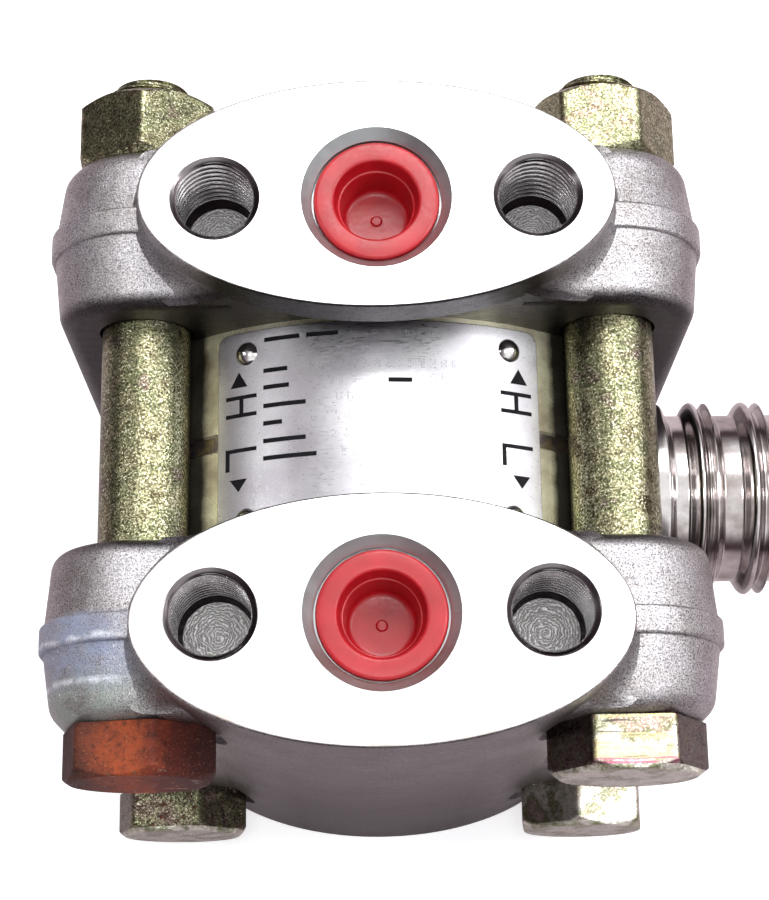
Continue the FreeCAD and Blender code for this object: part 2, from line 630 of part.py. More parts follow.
def header_pins():
    """Contact pins through the header as separate solids."""
    start = HEADER_START - PIN_INNER_LENGTH
    end = HEADER_START + HEADER_THICKNESS + PIN_OUTER_LENGTH
    return Part.makeCompound([x_rod(PIN_RADIUS, start, end, y, z) for y, z in pin_places()])


def sensor_chip():
    """Silicon sensor bonded to the header, facing the oil ducts."""
    half = CHIP_SIZE / 2.0
    return box(HEADER_START - CHIP_THICKNESS, HEADER_START, -half, half, AXIS_Z - half, AXIS_Z + half)


# ---- nodes ----
def nodes():
    """Every sub-part by name."""
    head = head_high()
    plug = port_plug()
    vent = vent_plug()
    gasket = head_gasket()
    half = cell_half()
    barrier = barrier_diaphragm()
    ball = fill_ball()
    parts = {
        "head_high": head, "head_low": low_side(head),
        "port_plug_high": plug, "port_plug_low": low_side(plug),
        "vent_plug_high": vent, "vent_plug_low": low_side(vent),
        "head_gasket_high": gasket, "head_gasket_low": low_side(gasket),
        "cell_half_high": half, "cell_half_low": low_side(half),
        "barrier_diaphragm_high": barrier, "barrier_diaphragm_low": low_side(barrier),
        "fill_ball_high": ball, "fill_ball_low": low_side(ball),
        "girth_weld": girth_weld(),
        "overload_diaphragm": overload_diaphragm(),
        "nameplate": nameplate(),
        "nameplate_rivets": nameplate_rivets(),
        "neck": neck(),
        "neck_weld": neck_weld(),
        "sensor_header": sensor_header(),
        "sensor_chip": sensor_chip(),
        "header_pins": header_pins(),
    }
    for name, side_x, side_z, head_turn, nut_turn in BOLTS:
        x = side_x * BOLT_REACH
        z = AXIS_Z + side_z * BOLT_REACH
        parts["bolt_" + name] = head_bolt(x, z, head_turn)
        parts["nut_" + name] = head_nut(x, z, nut_turn)
    return parts


os.makedirs("parts", exist_ok=True)
for node, shape in nodes().items():
    shape.exportStep("parts/" + node + ".step")
    print(node, "solids", len(shape.Solids), "valid", shape.isValid(), "volume", round(shape.Volume, 1))
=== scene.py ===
# %% [markdown]
# # Meter body of a differential pressure transmitter
# A welded measuring cell is clamped between two cast process heads by four long bolts. Red plugs
# keep dirt out of the two process ports, and a turned neck carries the electronics. The solids come
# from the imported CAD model, so this lesson adds what CAD leaves plain: threads, print, softened
# edges, and the finish of every surface.

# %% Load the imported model
import json
import math

import bpy
import bmesh
import numpy as np
from mathutils import Matrix, Vector


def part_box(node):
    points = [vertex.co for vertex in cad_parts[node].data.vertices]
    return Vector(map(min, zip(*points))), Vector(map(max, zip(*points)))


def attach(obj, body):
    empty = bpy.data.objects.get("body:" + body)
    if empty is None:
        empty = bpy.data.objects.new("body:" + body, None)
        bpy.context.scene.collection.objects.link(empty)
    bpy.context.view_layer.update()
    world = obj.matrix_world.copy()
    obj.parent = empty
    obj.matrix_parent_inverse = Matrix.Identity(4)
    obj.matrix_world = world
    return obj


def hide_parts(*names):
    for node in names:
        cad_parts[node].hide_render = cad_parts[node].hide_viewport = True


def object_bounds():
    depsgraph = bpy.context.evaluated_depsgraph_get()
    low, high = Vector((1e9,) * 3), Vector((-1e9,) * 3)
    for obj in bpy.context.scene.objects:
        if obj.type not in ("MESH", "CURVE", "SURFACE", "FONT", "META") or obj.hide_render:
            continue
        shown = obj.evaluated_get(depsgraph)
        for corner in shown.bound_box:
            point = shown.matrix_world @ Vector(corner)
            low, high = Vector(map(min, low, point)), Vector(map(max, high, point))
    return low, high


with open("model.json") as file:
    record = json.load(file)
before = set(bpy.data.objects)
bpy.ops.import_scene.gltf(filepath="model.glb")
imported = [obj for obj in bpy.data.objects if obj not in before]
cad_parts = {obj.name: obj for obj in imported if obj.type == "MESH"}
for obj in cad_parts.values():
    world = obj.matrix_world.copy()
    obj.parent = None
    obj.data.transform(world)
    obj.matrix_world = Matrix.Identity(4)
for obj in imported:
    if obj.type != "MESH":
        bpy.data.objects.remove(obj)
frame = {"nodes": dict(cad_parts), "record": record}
cad_low, cad_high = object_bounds()
MM = 0.001
print("CAD box in mm:", [round(v / MM, 1) for v in (*cad_low, *cad_high)])

# %% [markdown]
# ## Where things are
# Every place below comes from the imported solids: the record's bolt pattern, and the box of each
# node. Only sizes that the solids can't say, such as a thread's pitch, are written as numbers.

# %% Places read from the frame
mounts = {m["name"]: m for m in frame["record"]["mounts"]}
pattern = mounts["manifold_bolts"]["dims"]
HOLE_X = pattern["spacing_x_mm"] / 2 * MM
HOLE_Y = pattern["spacing_y_mm"] / 2 * MM
HOLE_RADIUS = pattern["hole_r_mm"] * MM
cell_low, cell_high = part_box("cell_half_high")
CELL_RADIUS = (cell_high.x - cell_low.x) / 2
AXIS_Z = (cell_high.z + cell_low.z) / 2
plate_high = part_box("nameplate")[1]
PLATE_RADIUS = plate_high.z - AXIS_Z
head_low, head_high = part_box("head_high")
DEPTH = head_high.z - head_low.z
INNER_Y = cell_high.y
print("body axis at z =", round(AXIS_Z / MM, 2), "mm")
print("plate radius", round(PLATE_RADIUS / MM, 2), "mm")


# %% [markdown]
# ## Three small helpers
# Colours are written as sRGB hex values, the way a paint chart gives them, and shaders want linear
# light, so one function converts them. Every material is a tree of nodes, so one function adds a
# node, sets it and links it. Grids of points become meshes in one function too, because all the new
# pieces here are surfaces of two parameters.

# %% Colour and node helpers
def linear(hex_value):
    """Linear RGBA of an sRGB hex value.

    Each channel c becomes c / 12.92 near black, else ((c + 0.055) / 1.055) to the 2.4.
    """
    c = np.array([int(hex_value[i:i + 2], 16) for i in (1, 3, 5)]) / 255.0
    low = c / 12.92
    high = ((c + 0.055) / 1.055) ** 2.4
    return (*np.where(c <= 0.04045, low, high), 1.0)


def add(material, kind, inputs=None, **settings):
    """Adds one node. Settings are its properties, and inputs are values or sockets to link."""
    node = material.node_tree.nodes.new(kind)
    for name, value in settings.items():
        setattr(node, name, value)
    for name, value in (inputs or {}).items():
        if isinstance(value, bpy.types.NodeSocket):
            material.node_tree.links.new(value, node.inputs[name])
        else:
            node.inputs[name].default_value = value
    return node


def per_mm(size):
    """Noise scale whose features are about this many millimetres, on coordinates in metres."""
    return 1.0 / (size * MM)


print("mid grey is", round(linear("#808080")[0], 3), "in linear light")


# %% Mesh helpers
def mesh_piece(name, verts, faces, material, smooth_angle):
    """Object from points in metres and faces: doubles merged, faces turned outward, edges sharper
    than smooth_angle in degrees kept sharp."""
    mesh = bpy.data.meshes.new(name)
    mesh.from_pydata(verts.tolist(), [], faces)
    work = bmesh.new()
    work.from_mesh(mesh)
    bmesh.ops.remove_doubles(work, verts=work.verts, dist=0.0005 * MM)
    bmesh.ops.dissolve_degenerate(work, edges=work.edges, dist=0.0001 * MM)
    bmesh.ops.recalc_face_normals(work, faces=work.faces)
    work.to_mesh(mesh)
    work.free()
    mesh.shade_smooth()
    mesh.set_sharp_from_angle(angle=math.radians(smooth_angle))
    mesh.materials.append(material)
    piece = bpy.data.objects.new(name, mesh)
    bpy.context.scene.collection.objects.link(piece)
    return piece


def grid_faces(rows, columns, wrap_rows=False, wrap_columns=False):
    """Quads of a grid of points numbered row by row, joined round where it wraps."""
    r = np.arange(rows if wrap_rows else rows - 1)[:, None]
    c = np.arange(columns if wrap_columns else columns - 1)[None, :]
    r1, c1 = (r + 1) % rows, (c + 1) % columns
    quads = np.stack([r * columns + c, r * columns + c1, r1 * columns + c1, r1 * columns + c], -1)
    return quads.reshape(-1, 4).tolist()


def turned(radii, heights, steps, axis, centre, closed_profile=False):
    """Points and faces of a turned shape: each row is a ring, at height h and radius r(row, angle).

    radii is one value per row, or a grid of rows by angles where the section isn't round.
    """
    angles = np.linspace(0.0, 2 * math.pi, steps, endpoint=False)
    r = np.broadcast_to(np.asarray(radii, float).reshape(len(heights), -1), (len(heights), steps))
    a = np.broadcast_to(angles, r.shape)
    h = np.broadcast_to(np.asarray(heights, float)[:, None], r.shape)
    u, v = r * np.cos(a), r * np.sin(a)
    order = {"x": (h, u, v), "y": (u, h, v), "z": (u, v, h)}[axis]
    points = np.stack(order, -1).reshape(-1, 3) + np.asarray(centre, float)
    return points, grid_faces(len(heights), steps, wrap_rows=closed_profile, wrap_columns=True)


def rounded_profile(corners, segments=6):
    """Profile (radius, height) with arcs at its corners: each corner is (r, h, fillet radius).

    Each fillet is the circle tangent to both legs, sampled by angle; a zero radius stays sharp.
    """
    points = []
    for i, (r, h, fillet) in enumerate(corners):
        here = np.array([r, h], float)
        if fillet <= 0 or i in (0, len(corners) - 1):
            points.append(here)
            continue
        before = np.array(corners[i - 1][:2], float) - here
        after = np.array(corners[i + 1][:2], float) - here
        reach_a, reach_b = np.linalg.norm(before), np.linalg.norm(after)
        before, after = before / reach_a, after / reach_b
        half = math.acos(np.clip(before @ after, -1, 1)) / 2
        cut = min(fillet / math.tan(half), reach_a * 0.49, reach_b * 0.49)
        radius = cut * math.tan(half)
        middle = (before + after) / np.linalg.norm(before + after)
        centre = here + middle * radius / math.sin(half)
        start, end = here + before * cut - centre, here + after * cut - centre
        turn = math.atan2(start[0] * end[1] - start[1] * end[0], start @ end)
        t = np.linspace(0, turn, segments)
        rotated = np.stack([start[0] * np.cos(t) - start[1] * np.sin(t),
                            start[0] * np.sin(t) + start[1] * np.cos(t)], -1)
        points.extend(centre + rotated)
    return np.array(points)


print("helpers ready")

# %% [markdown]
# ## Camera
# The camera looks down on the process faces from a little towards the low-pressure side, with a
# moderately long lens. Its place is given in the frame of the part, in millimetres from the middle
# of the mounting holes, and its turn is three angles about X, Y and Z.

# %% Camera
camera_data = bpy.data.cameras.new("camera")
camera_data.sensor_width = 36.0
camera_data.lens = 82.86
camera_data.clip_start = 0.01
camera_data.clip_end = 20.0
camera = bpy.data.objects.new("camera", camera_data)
bpy.context.scene.collection.objects.link(camera)
tilt_x, tilt_y, tilt_z = (math.radians(a) for a in (-16.50, 0.45, 0.83))
world_to_camera = (Matrix.Rotation(tilt_z, 3, "Z") @ Matrix.Rotation(tilt_x, 3, "X")
                   @ Matrix.Rotation(tilt_y, 3, "Y"))
camera.matrix_world = (Matrix.Translation(Vector((-1.35, -78.98, 243.82)) * MM)
                       @ world_to_camera.transposed().to_4x4())
bpy.context.scene.camera = camera
print("camera", [round(v / MM, 1) for v in camera.matrix_world.translation], "mm from the origin")

# %% [markdown]
# ## Light
# A product on a white table under a large soft light: bright overhead, darker towards the horizon,
# where the room is, and to the left. Polished steel shows those changes as white bands with dark
# sides, so the world is one ramp on the height of the ray times another on its direction across.
# Rays from the camera see plain white.

# %% World
def stops(tree, value, colours):
    """Colour ramp with (position, hex) stops."""
    ramp = add(tree, "ShaderNodeValToRGB", {0: value})
    first, last = ramp.color_ramp.elements
    first.position, first.color = colours[0][0], linear(colours[0][1])
    last.position, last.color = colours[-1][0], linear(colours[-1][1])
    for position, colour in colours[1:-1]:
        ramp.color_ramp.elements.new(position).color = linear(colour)
    return ramp.outputs["Color"]


world = bpy.data.worlds.new("studio")
bpy.context.scene.world = world
world.use_nodes = True
world.node_tree.nodes.clear()
direction = add(world, "ShaderNodeTexCoord")
split = add(world, "ShaderNodeSeparateXYZ", {0: direction.outputs["Generated"]})
height_tone = stops(world, split.outputs["Z"], [
    (0.0, "#3E2A2F"), (0.16, "#4C3C41"), (0.34, "#A9A2A5"), (0.50, "#FFFFFF"), (1.0, "#FFFFFF")])
across = add(world, "ShaderNodeMapRange", {0: split.outputs["X"], 1: -1.0, 2: 1.0, 3: 0.0, 4: 1.0})
side_tone = stops(world, across.outputs[0], [
    (0.0, "#33252A"), (0.10, "#62575C"), (0.26, "#8A8386"), (0.38, "#C4C0C2"), (0.48, "#FFFFFF"),
    (0.95, "#FFFFFF"), (1.0, "#8E868A")])
room = add(world, "ShaderNodeMix", {0: 1.0, 6: height_tone, 7: side_tone},
           data_type="RGBA", blend_type="MULTIPLY")
ray = add(world, "ShaderNodeLightPath")
studio_light = add(world, "ShaderNodeBackground", {"Color": room.outputs[2], "Strength": 1.3})
white_back = add(world, "ShaderNodeBackground", {"Color": (1, 1, 1, 1), "Strength": 1.0})
choose = add(world, "ShaderNodeMixShader",
             {0: ray.outputs["Is Camera Ray"], 1: studio_light.outputs[0],
              2: white_back.outputs[0]})
add(world, "ShaderNodeOutputWorld", {"Surface": choose.outputs[0]})
print("world: dark at the horizon and to the left, white overhead and to the right")


# %% Lamps and table
def lamp(name, place, size, watts):
    """Square white area light at a place in metres, turned to the middle of the object."""
    data = bpy.data.lights.new(name, "AREA")
    data.shape = "SQUARE"
    data.size = size
    data.energy = watts
    light = bpy.data.objects.new(name, data)
    light.location = place
    toward = (cad_low + cad_high) / 2 - Vector(place)
    light.rotation_euler = toward.to_track_quat("-Z", "Y").to_euler()
    bpy.context.scene.collection.objects.link(light)


lamp("overhead_softbox", (0.05, 0.38, 0.52), 0.30, 2.6)
lamp("front_softbox", (0.0, -0.10, 0.62), 0.12, 1.0)
lamp("left_softbox", (-0.42, 0.05, 0.38), 0.14, 0.45)
lamp("right_softbox", (0.44, 0.04, 0.40), 0.24, 1.7)

table_mesh = bpy.data.meshes.new("table")
reach = 3.0
table_mesh.from_pydata([(-reach, -reach, cad_low.z), (reach, -reach, cad_low.z),
                        (reach, reach, cad_low.z), (-reach, reach, cad_low.z)], [], [(0, 1, 2, 3)])
table = bpy.data.objects.new("table", table_mesh)
bpy.context.scene.collection.objects.link(table)

# The camera sees a white sheet that keeps its soft shadow. Other rays see it dark, as the room
# round a small white sheet is, and that is what makes the polished sides of the metal dark.
table_paint = bpy.data.materials.new("white_table")
table_paint.use_nodes = True
table_paint.node_tree.nodes.clear()
table_ray = add(table_paint, "ShaderNodeLightPath")
table_seen = add(table_paint, "ShaderNodeBsdfDiffuse", {"Color": linear("#F2F2F4")})
table_glow = add(table_paint, "ShaderNodeEmission", {"Color": (1, 1, 1, 1), "Strength": 0.42})
table_white = add(table_paint, "ShaderNodeAddShader",
                  {0: table_seen.outputs[0], 1: table_glow.outputs[0]})
table_dark = add(table_paint, "ShaderNodeBsdfDiffuse", {"Color": linear("#B5A9AD")})
table_both = add(table_paint, "ShaderNodeMixShader",
                 {0: table_ray.outputs["Is Camera Ray"], 1: table_dark.outputs[0],
                  2: table_white.outputs[0]})
add(table_paint, "ShaderNodeOutputMaterial", {"Surface": table_both.outputs[0]})
table_mesh.materials.append(table_paint)
print("table at z =", round(cad_low.z / MM, 1), "mm")


# %% [markdown]
# ## Materials
# Most of this object is metal, and what tells one steel from another is its surface: blasted
# castings scatter light in grains, turned parts carry rings, plate is brushed, and zinc plating
# breaks white light into straw, olive and pink. Each finish below gets its colour, roughness and
# bump from noise whose size is given in millimetres.

# %% Material start
def metal(name, metallic=1.0, roughness=0.4):
    """Material with one Principled shader, its Object coordinates node and the shader."""
    material = bpy.data.materials.new(name)
    material.use_nodes = True
    shader = material.node_tree.nodes["Principled BSDF"]
    shader.inputs["Metallic"].default_value = metallic
    shader.inputs["Roughness"].default_value = roughness
    place = add(material, "ShaderNodeTexCoord").outputs["Object"]
    return material, shader, place


def noise(material, place, size_mm, detail=3.0, roughness=0.5):
    """Noise whose features are about size_mm across."""
    return add(material, "ShaderNodeTexNoise",
               {"Vector": place, "Scale": per_mm(size_mm), "Detail": detail,
                "Roughness": roughness}).outputs["Fac"]


def remap(material, value, low, high, to_low=0.0, to_high=1.0):
    """Linear change of range, clamped at both ends."""
    return add(material, "ShaderNodeMapRange",
               {"Value": value, "From Min": low, "From Max": high, "To Min": to_low,
                "To Max": to_high}).outputs["Result"]


def patches(material, place, size_mm, low, high, to_high=1.0, detail=3.0, roughness=0.5):
    """Patches about size_mm across: noise, with low and high stretched to 0 and to_high."""
    fleck = noise(material, place, size_mm, detail, roughness)
    return remap(material, fleck, low, high, 0.0, to_high)


def blend(material, factor, a, b, mode="MIX"):
    """Mix of two colours, each a hex value or a socket."""
    a, b = (linear(value) if isinstance(value, str) else value for value in (a, b))
    return add(material, "ShaderNodeMix", {0: factor, 6: a, 7: b},
               data_type="RGBA", blend_type=mode).outputs[2]


def calc(material, operation, a, b=0.0, c=0.0):
    """One step of arithmetic on numbers or sockets."""
    return add(material, "ShaderNodeMath", {0: a, 1: b, 2: c}, operation=operation).outputs[0]


def gap(material, a, b):
    """How far a lies from b, on either side of it."""
    return calc(material, "ABSOLUTE", calc(material, "SUBTRACT", a, b))


def axes(material, place):
    """The X, Y and Z of a place."""
    return add(material, "ShaderNodeSeparateXYZ", {0: place}).outputs


def stretch(material, place, scale, turn=0.0):
    """Place turned about Z and scaled, so that noise is drawn out where the scale is small."""
    return add(material, "ShaderNodeMapping",
               {"Vector": place, "Scale": scale, "Rotation": (0.0, 0.0, turn)}).outputs[0]


def bump(material, shader, height, depth_mm):
    """Bump of the given height in millimetres, chained before any bump that is already there."""
    node = add(material, "ShaderNodeBump", {"Height": height, "Distance": depth_mm * MM})
    old = shader.inputs["Normal"].links
    if old:
        material.node_tree.links.new(old[0].from_socket, node.inputs["Normal"])
    material.node_tree.links.new(node.outputs[0], shader.inputs["Normal"])


def link(material, socket, shader, name):
    """Links a socket to a named input of the shader."""
    material.node_tree.links.new(socket, shader.inputs[name])


def from_hole(material, xyz, centre_x):
    """Offsets in X and Y from the axis of a hole at centre_x, and sqrt(dx^2 + dy^2).

    The object is folded about both of its middle planes, so this serves the holes on every side.
    """
    dx = calc(material, "SUBTRACT", calc(material, "ABSOLUTE", xyz["X"]), centre_x)
    dy = calc(material, "SUBTRACT", calc(material, "ABSOLUTE", xyz["Y"]), HOLE_Y)
    squares = calc(material, "ADD", calc(material, "MULTIPLY", dx, dx),
                   calc(material, "MULTIPLY", dy, dy))
    return dx, dy, calc(material, "SQRT", squares)


print("material helpers ready")


# %% [markdown]
# ### Cast stainless steel with machined faces
# The heads are investment cast and blasted, so they are grainy and pewter grey, and the gasket
# faces, ports and bolt seats are milled afterwards. One piece of metal carries both finishes, so
# one material does too: the milled places are found by where they lie on the solid.

# %% Cast stainless steel
PORT_RECESS_RADIUS = 9.72 * MM
PORT_STEP_RADIUS = 6.9 * MM
HOLE_FLOOR_DEPTH = 12.0 * MM
CUTTER_FEED = 0.40 * MM
SKIN = 0.06 * MM


def machined_places(cast, place):
    """Masks from where the surface lies: milled metal, hole floors, a cutter's spiral, port rings.

    Milled is 1 on the two flat faces and inside the holes. The spiral is sin(2 pi r / feed + turn),
    r being the distance from the hole's axis and turn the angle about it.
    """
    xyz = axes(cast, place)
    depth = gap(cast, xyz["Z"], AXIS_Z)
    found = calc(cast, "GREATER_THAN", depth, DEPTH / 2 - SKIN)
    port_distance = from_hole(cast, xyz, 0.0)[2]
    dx, dy, distance = from_hole(cast, xyz, HOLE_X)
    in_port = calc(cast, "LESS_THAN", port_distance, PORT_RECESS_RADIUS)
    found = calc(cast, "MAXIMUM", found, in_port)
    found = calc(cast, "MAXIMUM", found, calc(cast, "LESS_THAN", distance, HOLE_RADIUS + SKIN))
    port_ring = calc(cast, "MULTIPLY", in_port,
                     calc(cast, "GREATER_THAN", port_distance, PORT_STEP_RADIUS))
    turn = calc(cast, "ARCTAN2", dy, dx)
    torn = calc(cast, "MULTIPLY_ADD", noise(cast, place, 1.6, detail=5.0, roughness=0.7),
                2.2 * MM, distance)
    rings = calc(cast, "MULTIPLY", torn, 2 * math.pi / CUTTER_FEED)
    spiral = calc(cast, "SINE", calc(cast, "ADD", rings, turn))
    near = calc(cast, "LESS_THAN", distance, HOLE_RADIUS)
    low = calc(cast, "LESS_THAN", depth, DEPTH / 2 - HOLE_FLOOR_DEPTH)
    return found, calc(cast, "MULTIPLY", near, low), spiral, port_ring


def casting_skin_and_shade(cast, place, grain, along, cloud):
    """Grey of the blasted skin, with clouds and stains, and painted shade on the inner face beside
    the cell.
    """
    skin = blend(cast, remap(cast, grain, 0.38, 0.62), "#757277", "#DEDCDE")
    skin = blend(cast, remap(cast, cloud, 0.40, 0.68, 0.0, 0.7), skin,
                 blend(cast, 1.0, skin, "#C4BDB6", "MULTIPLY"))
    stain = patches(cast, place, 2.6, 0.60, 0.74, detail=5.0, roughness=0.7)
    skin = blend(cast, calc(cast, "MULTIPLY", stain, 0.35), skin, "#4A4042")
    # Painted shade: the inner face beside the cell is darkened to near black.
    inner = remap(cast, along, INNER_Y + 0.7 * MM, INNER_Y + 2.0 * MM, 0.88, 0.0)
    return blend(cast, inner, skin, "#1F161B")


def shaded_end_wall(cast, skin, xyz, wander):
    """Painted shade on the low-pressure end wall, heavier towards the back."""
    outward = calc(cast, "MULTIPLY", xyz["Y"], -1.0)
    end = remap(cast, outward, HOLE_Y + 9.0 * MM, HOLE_Y + 15.0 * MM)
    low = remap(cast, calc(cast, "ADD", xyz["Z"], wander), -62 * MM, -18 * MM, 0.93, 0.62)
    return blend(cast, calc(cast, "MULTIPLY", end, low), skin, "#1A121A")


def bloomed_lug(cast, shader, place, skin, along):
    """Pale blue-grey deposit about one lug, with white crusts along both edges of its belt."""
    deposit_centre = (-39 * MM, -31 * MM, -16 * MM)
    belt_edges = (HOLE_Y + 1.1 * MM, HOLE_Y + 6.3 * MM)
    offset = add(cast, "ShaderNodeVectorMath", {0: place, 1: deposit_centre},
                 operation="DISTANCE").outputs["Value"]
    near = remap(cast, offset, 10 * MM, 15 * MM, 1.0, 0.0)
    outside = remap(cast, along, HOLE_Y - 2.6 * MM, HOLE_Y - 1.4 * MM)
    near = calc(cast, "MULTIPLY", near, outside)
    patchy = remap(cast, noise(cast, place, 3.2, detail=6.0, roughness=0.75), 0.36, 0.58, 0.30, 1.0)
    bloom = calc(cast, "MULTIPLY", near, patchy)
    hue = blend(cast, remap(cast, along, HOLE_Y + 4 * MM, HOLE_Y + 8 * MM), "#8E9AB6", "#8F9A93")
    skin = blend(cast, calc(cast, "MULTIPLY", bloom, 0.85), skin, hue)
    bare = calc(cast, "SUBTRACT", 1.0, calc(cast, "MULTIPLY", bloom, 0.75))
    link(cast, bare, shader, "Metallic")
    crust = calc(cast, "MINIMUM", *(gap(cast, along, edge) for edge in belt_edges))
    line = remap(cast, crust, 0.05 * MM, 0.60 * MM, 1.0, 0.0)
    broken = patches(cast, place, 2.6, 0.40, 0.60, detail=5.0, roughness=0.75)
    streak = calc(cast, "MAXIMUM", calc(cast, "MULTIPLY", line, broken),
                  patches(cast, place, 1.3, 0.62, 0.70, detail=4.0, roughness=0.7))
    white = calc(cast, "MULTIPLY", calc(cast, "MULTIPLY", near, streak), 0.85)
    return blend(cast, white, skin, "#EEF3FA")


def smeared_face(cast, place, milled, y, smear):
    """Warm smears, drawn out across the low-pressure face towards its outer edge."""
    pulled = stretch(cast, place, (0.35, 1.0, 1.0), turn=0.35)
    warm = patches(cast, pulled, 4.5, 0.46, 0.64, detail=5.0, roughness=0.62)
    below = remap(cast, y, -36 * MM, -24 * MM, smear, 0.0)
    amount = calc(cast, "MULTIPLY_ADD", below, 0.5, calc(cast, "MULTIPLY", below, warm))
    return blend(cast, amount, milled, "#8D7668")


def cast_stainless(name, deposit_and_end_shade=False, smear=0.0):
    """Blasted casting with milled faces; the deposit switch adds painted shade on the end wall and
    the pale bloom left on one lug.
    """
    cast, shader, place = metal(name)
    machined, floor, spiral, ring = machined_places(cast, place)
    grain = noise(cast, place, 0.20, roughness=0.7)
    cloud = noise(cast, place, 8.0, detail=4.0, roughness=0.6)
    xyz = axes(cast, place)
    wander = calc(cast, "MULTIPLY_ADD", cloud, 1.6 * MM, -0.8 * MM)
    along = calc(cast, "ADD", calc(cast, "ABSOLUTE", xyz["Y"]), wander)
    skin = casting_skin_and_shade(cast, place, grain, along, cloud)
    if deposit_and_end_shade:
        # Painted shade on the end wall, darker towards the back; then the real bloom on one lug.
        skin = shaded_end_wall(cast, skin, xyz, wander)
        skin = bloomed_lug(cast, shader, place, skin, along)
    milled_noise = noise(cast, place, 1.6)
    milled = blend(cast, remap(cast, milled_noise, 0.3, 0.7), "#F8F7F6", "#FFFFFF")
    milled = blend(cast, calc(cast, "MULTIPLY", ring, 0.85), milled, "#A9B4B6")
    if smear:
        milled = smeared_face(cast, place, milled, xyz["Y"], smear)
    bore = blend(cast, remap(cast, spiral, -0.9, 0.9), "#A9A3A4", "#FFFFFF")
    milled = blend(cast, floor, milled, bore)
    link(cast, blend(cast, machined, skin, milled), shader, "Base Color")
    rough_cast = remap(cast, grain, 0.3, 0.7, 0.24, 0.38)
    rough_milled = remap(cast, milled_noise, 0.3, 0.7, 0.34, 0.44)
    rough = add(cast, "ShaderNodeMix", {0: machined, 2: rough_cast, 3: rough_milled},
                data_type="FLOAT")
    link(cast, rough.outputs[0], shader, "Roughness")
    cast_part = calc(cast, "SUBTRACT", 1.0, machined)
    bump(cast, shader, calc(cast, "MULTIPLY", grain, cast_part), 0.11)
    bump(cast, shader, calc(cast, "MULTIPLY", noise(cast, place, 1.7), cast_part), 0.14)
    bump(cast, shader, calc(cast, "MULTIPLY", spiral, floor), 0.03)
    return cast


cast_plain = cast_stainless("cast_stainless_blasted")
cast_bloomed_and_shaded = cast_stainless("cast_stainless_blasted_with_deposit_and_end_shade", deposit_and_end_shade=True, smear=0.45)
print("castings:", len(cast_plain.node_tree.nodes), "nodes")

# %% [markdown]
# ### Yellow zinc plating
# The bolts are plated with zinc and passivated in chromate, a film thin enough to show straw,
# olive, green and pink by interference. It dulls and breaks down in specks, and one head has rusted
# right through. The film's thickness varies slowly, so a slow noise chooses the hue and a fine one
# speckles it.

# %% Yellow zinc and rust
def streaks_and_flank_shade(zinc, place, colour):
    """Straw, pink and dark streaks wiped along X, and painted shade on the flanks beside the middle
    flat.
    """
    lit_face_centre, lit_face_half = 31.0 * MM, 5.15 * MM
    pulled = stretch(zinc, place, (0.05, 1.0, 1.0))
    for size, low, high, tint in ((0.8, 0.53, 0.60, "#CFC28E"), (0.9, 0.55, 0.61, "#A8587A"),
                                  (0.5, 0.61, 0.66, "#3A3036")):
        colour = blend(zinc, patches(zinc, pulled, size, low, high, 0.8), colour, tint)
    # Painted shade: the faces beside the middle flat of the head are darkened.
    aside = gap(zinc, axes(zinc, place)["X"], lit_face_centre)
    shaded = remap(zinc, aside, lit_face_half, lit_face_half + 0.3 * MM, 0.0, 0.86)
    return blend(zinc, shaded, colour, "#2E1E1D")


def rust_tone_and_side_shade(zinc, place):
    """Orange-brown scale with painted shade at both sides of the rusted head, freckled dark and
    light.
    """
    left, right = -35 * MM, -17 * MM
    aside = calc(zinc, "MULTIPLY_ADD", noise(zinc, place, 3.0, detail=4.0), 9 * MM,
                 axes(zinc, place)["X"])
    # Painted shade: the ramp across X is dark at both sides of the head and orange in the middle.
    tone = stops(zinc, remap(zinc, aside, left, right), [
        (0.0, "#3E1E16"), (0.15, "#5E2B1C"), (0.42, "#9A4420"), (0.72, "#5A1D14"),
        (1.0, "#35110F")])
    dark = patches(zinc, place, 0.9, 0.50, 0.66, 0.75, detail=5.0, roughness=0.7)
    tone = blend(zinc, dark, tone, "#2A110E")
    bright = patches(zinc, place, 0.28, 0.56, 0.70, 0.5, detail=5.0, roughness=0.75)
    return blend(zinc, bright, tone, "#C98658")


def yellow_zinc(name, dark="#1A1310", mid="#635B40", light="#A6A37F", pink="#84726A", rust=0.0,
                streaks=False, speckle=0.85, glint_share=0.75, metallic=1.0):
    """Chromated zinc: mid, light and pink are the film's hues, dark is the worn-through speck.

    Rust from 0 to 1 covers it in orange-brown scale, and streaks are wiped along X with painted
    shade on the head's flanks.
    """
    zinc, shader, place = metal(name, metallic=metallic)
    speck = noise(zinc, place, 0.30, detail=4.0, roughness=0.75)
    film = noise(zinc, place, 4.5, roughness=0.6)
    hue = stops(zinc, film, [(0.30, mid), (0.46, light), (0.57, "#868A66"), (0.72, pink)])
    colour = blend(zinc, remap(zinc, speck, 0.47, 0.57, 0.0, speckle), hue, dark)
    # Painted glints: where the fine noise is low, the colour is blended towards near white.
    colour = blend(zinc, remap(zinc, speck, 0.36, 0.44, glint_share, 0.0), colour, "#F6F3DF")
    if streaks:
        colour = streaks_and_flank_shade(zinc, place, colour)
    rough = remap(zinc, speck, 0.35, 0.65, 0.18, 0.40)
    bump(zinc, shader, speck, 0.05)
    if rust:
        scale = noise(zinc, place, 1.5, detail=6.0, roughness=0.7)
        cover = remap(zinc, scale, 0.62 - 0.45 * rust, 0.74 - 0.45 * rust)
        colour = blend(zinc, cover, colour, rust_tone_and_side_shade(zinc, place))
        thick = calc(zinc, "MULTIPLY", cover, 0.7)
        link(zinc, calc(zinc, "SUBTRACT", 1.0, thick), shader, "Metallic")
        rough = calc(zinc, "MAXIMUM", rough, thick)
        bump(zinc, shader, calc(zinc, "MULTIPLY", scale, cover), 0.16)
    link(zinc, colour, shader, "Base Color")
    link(zinc, rough, shader, "Roughness")
    return zinc


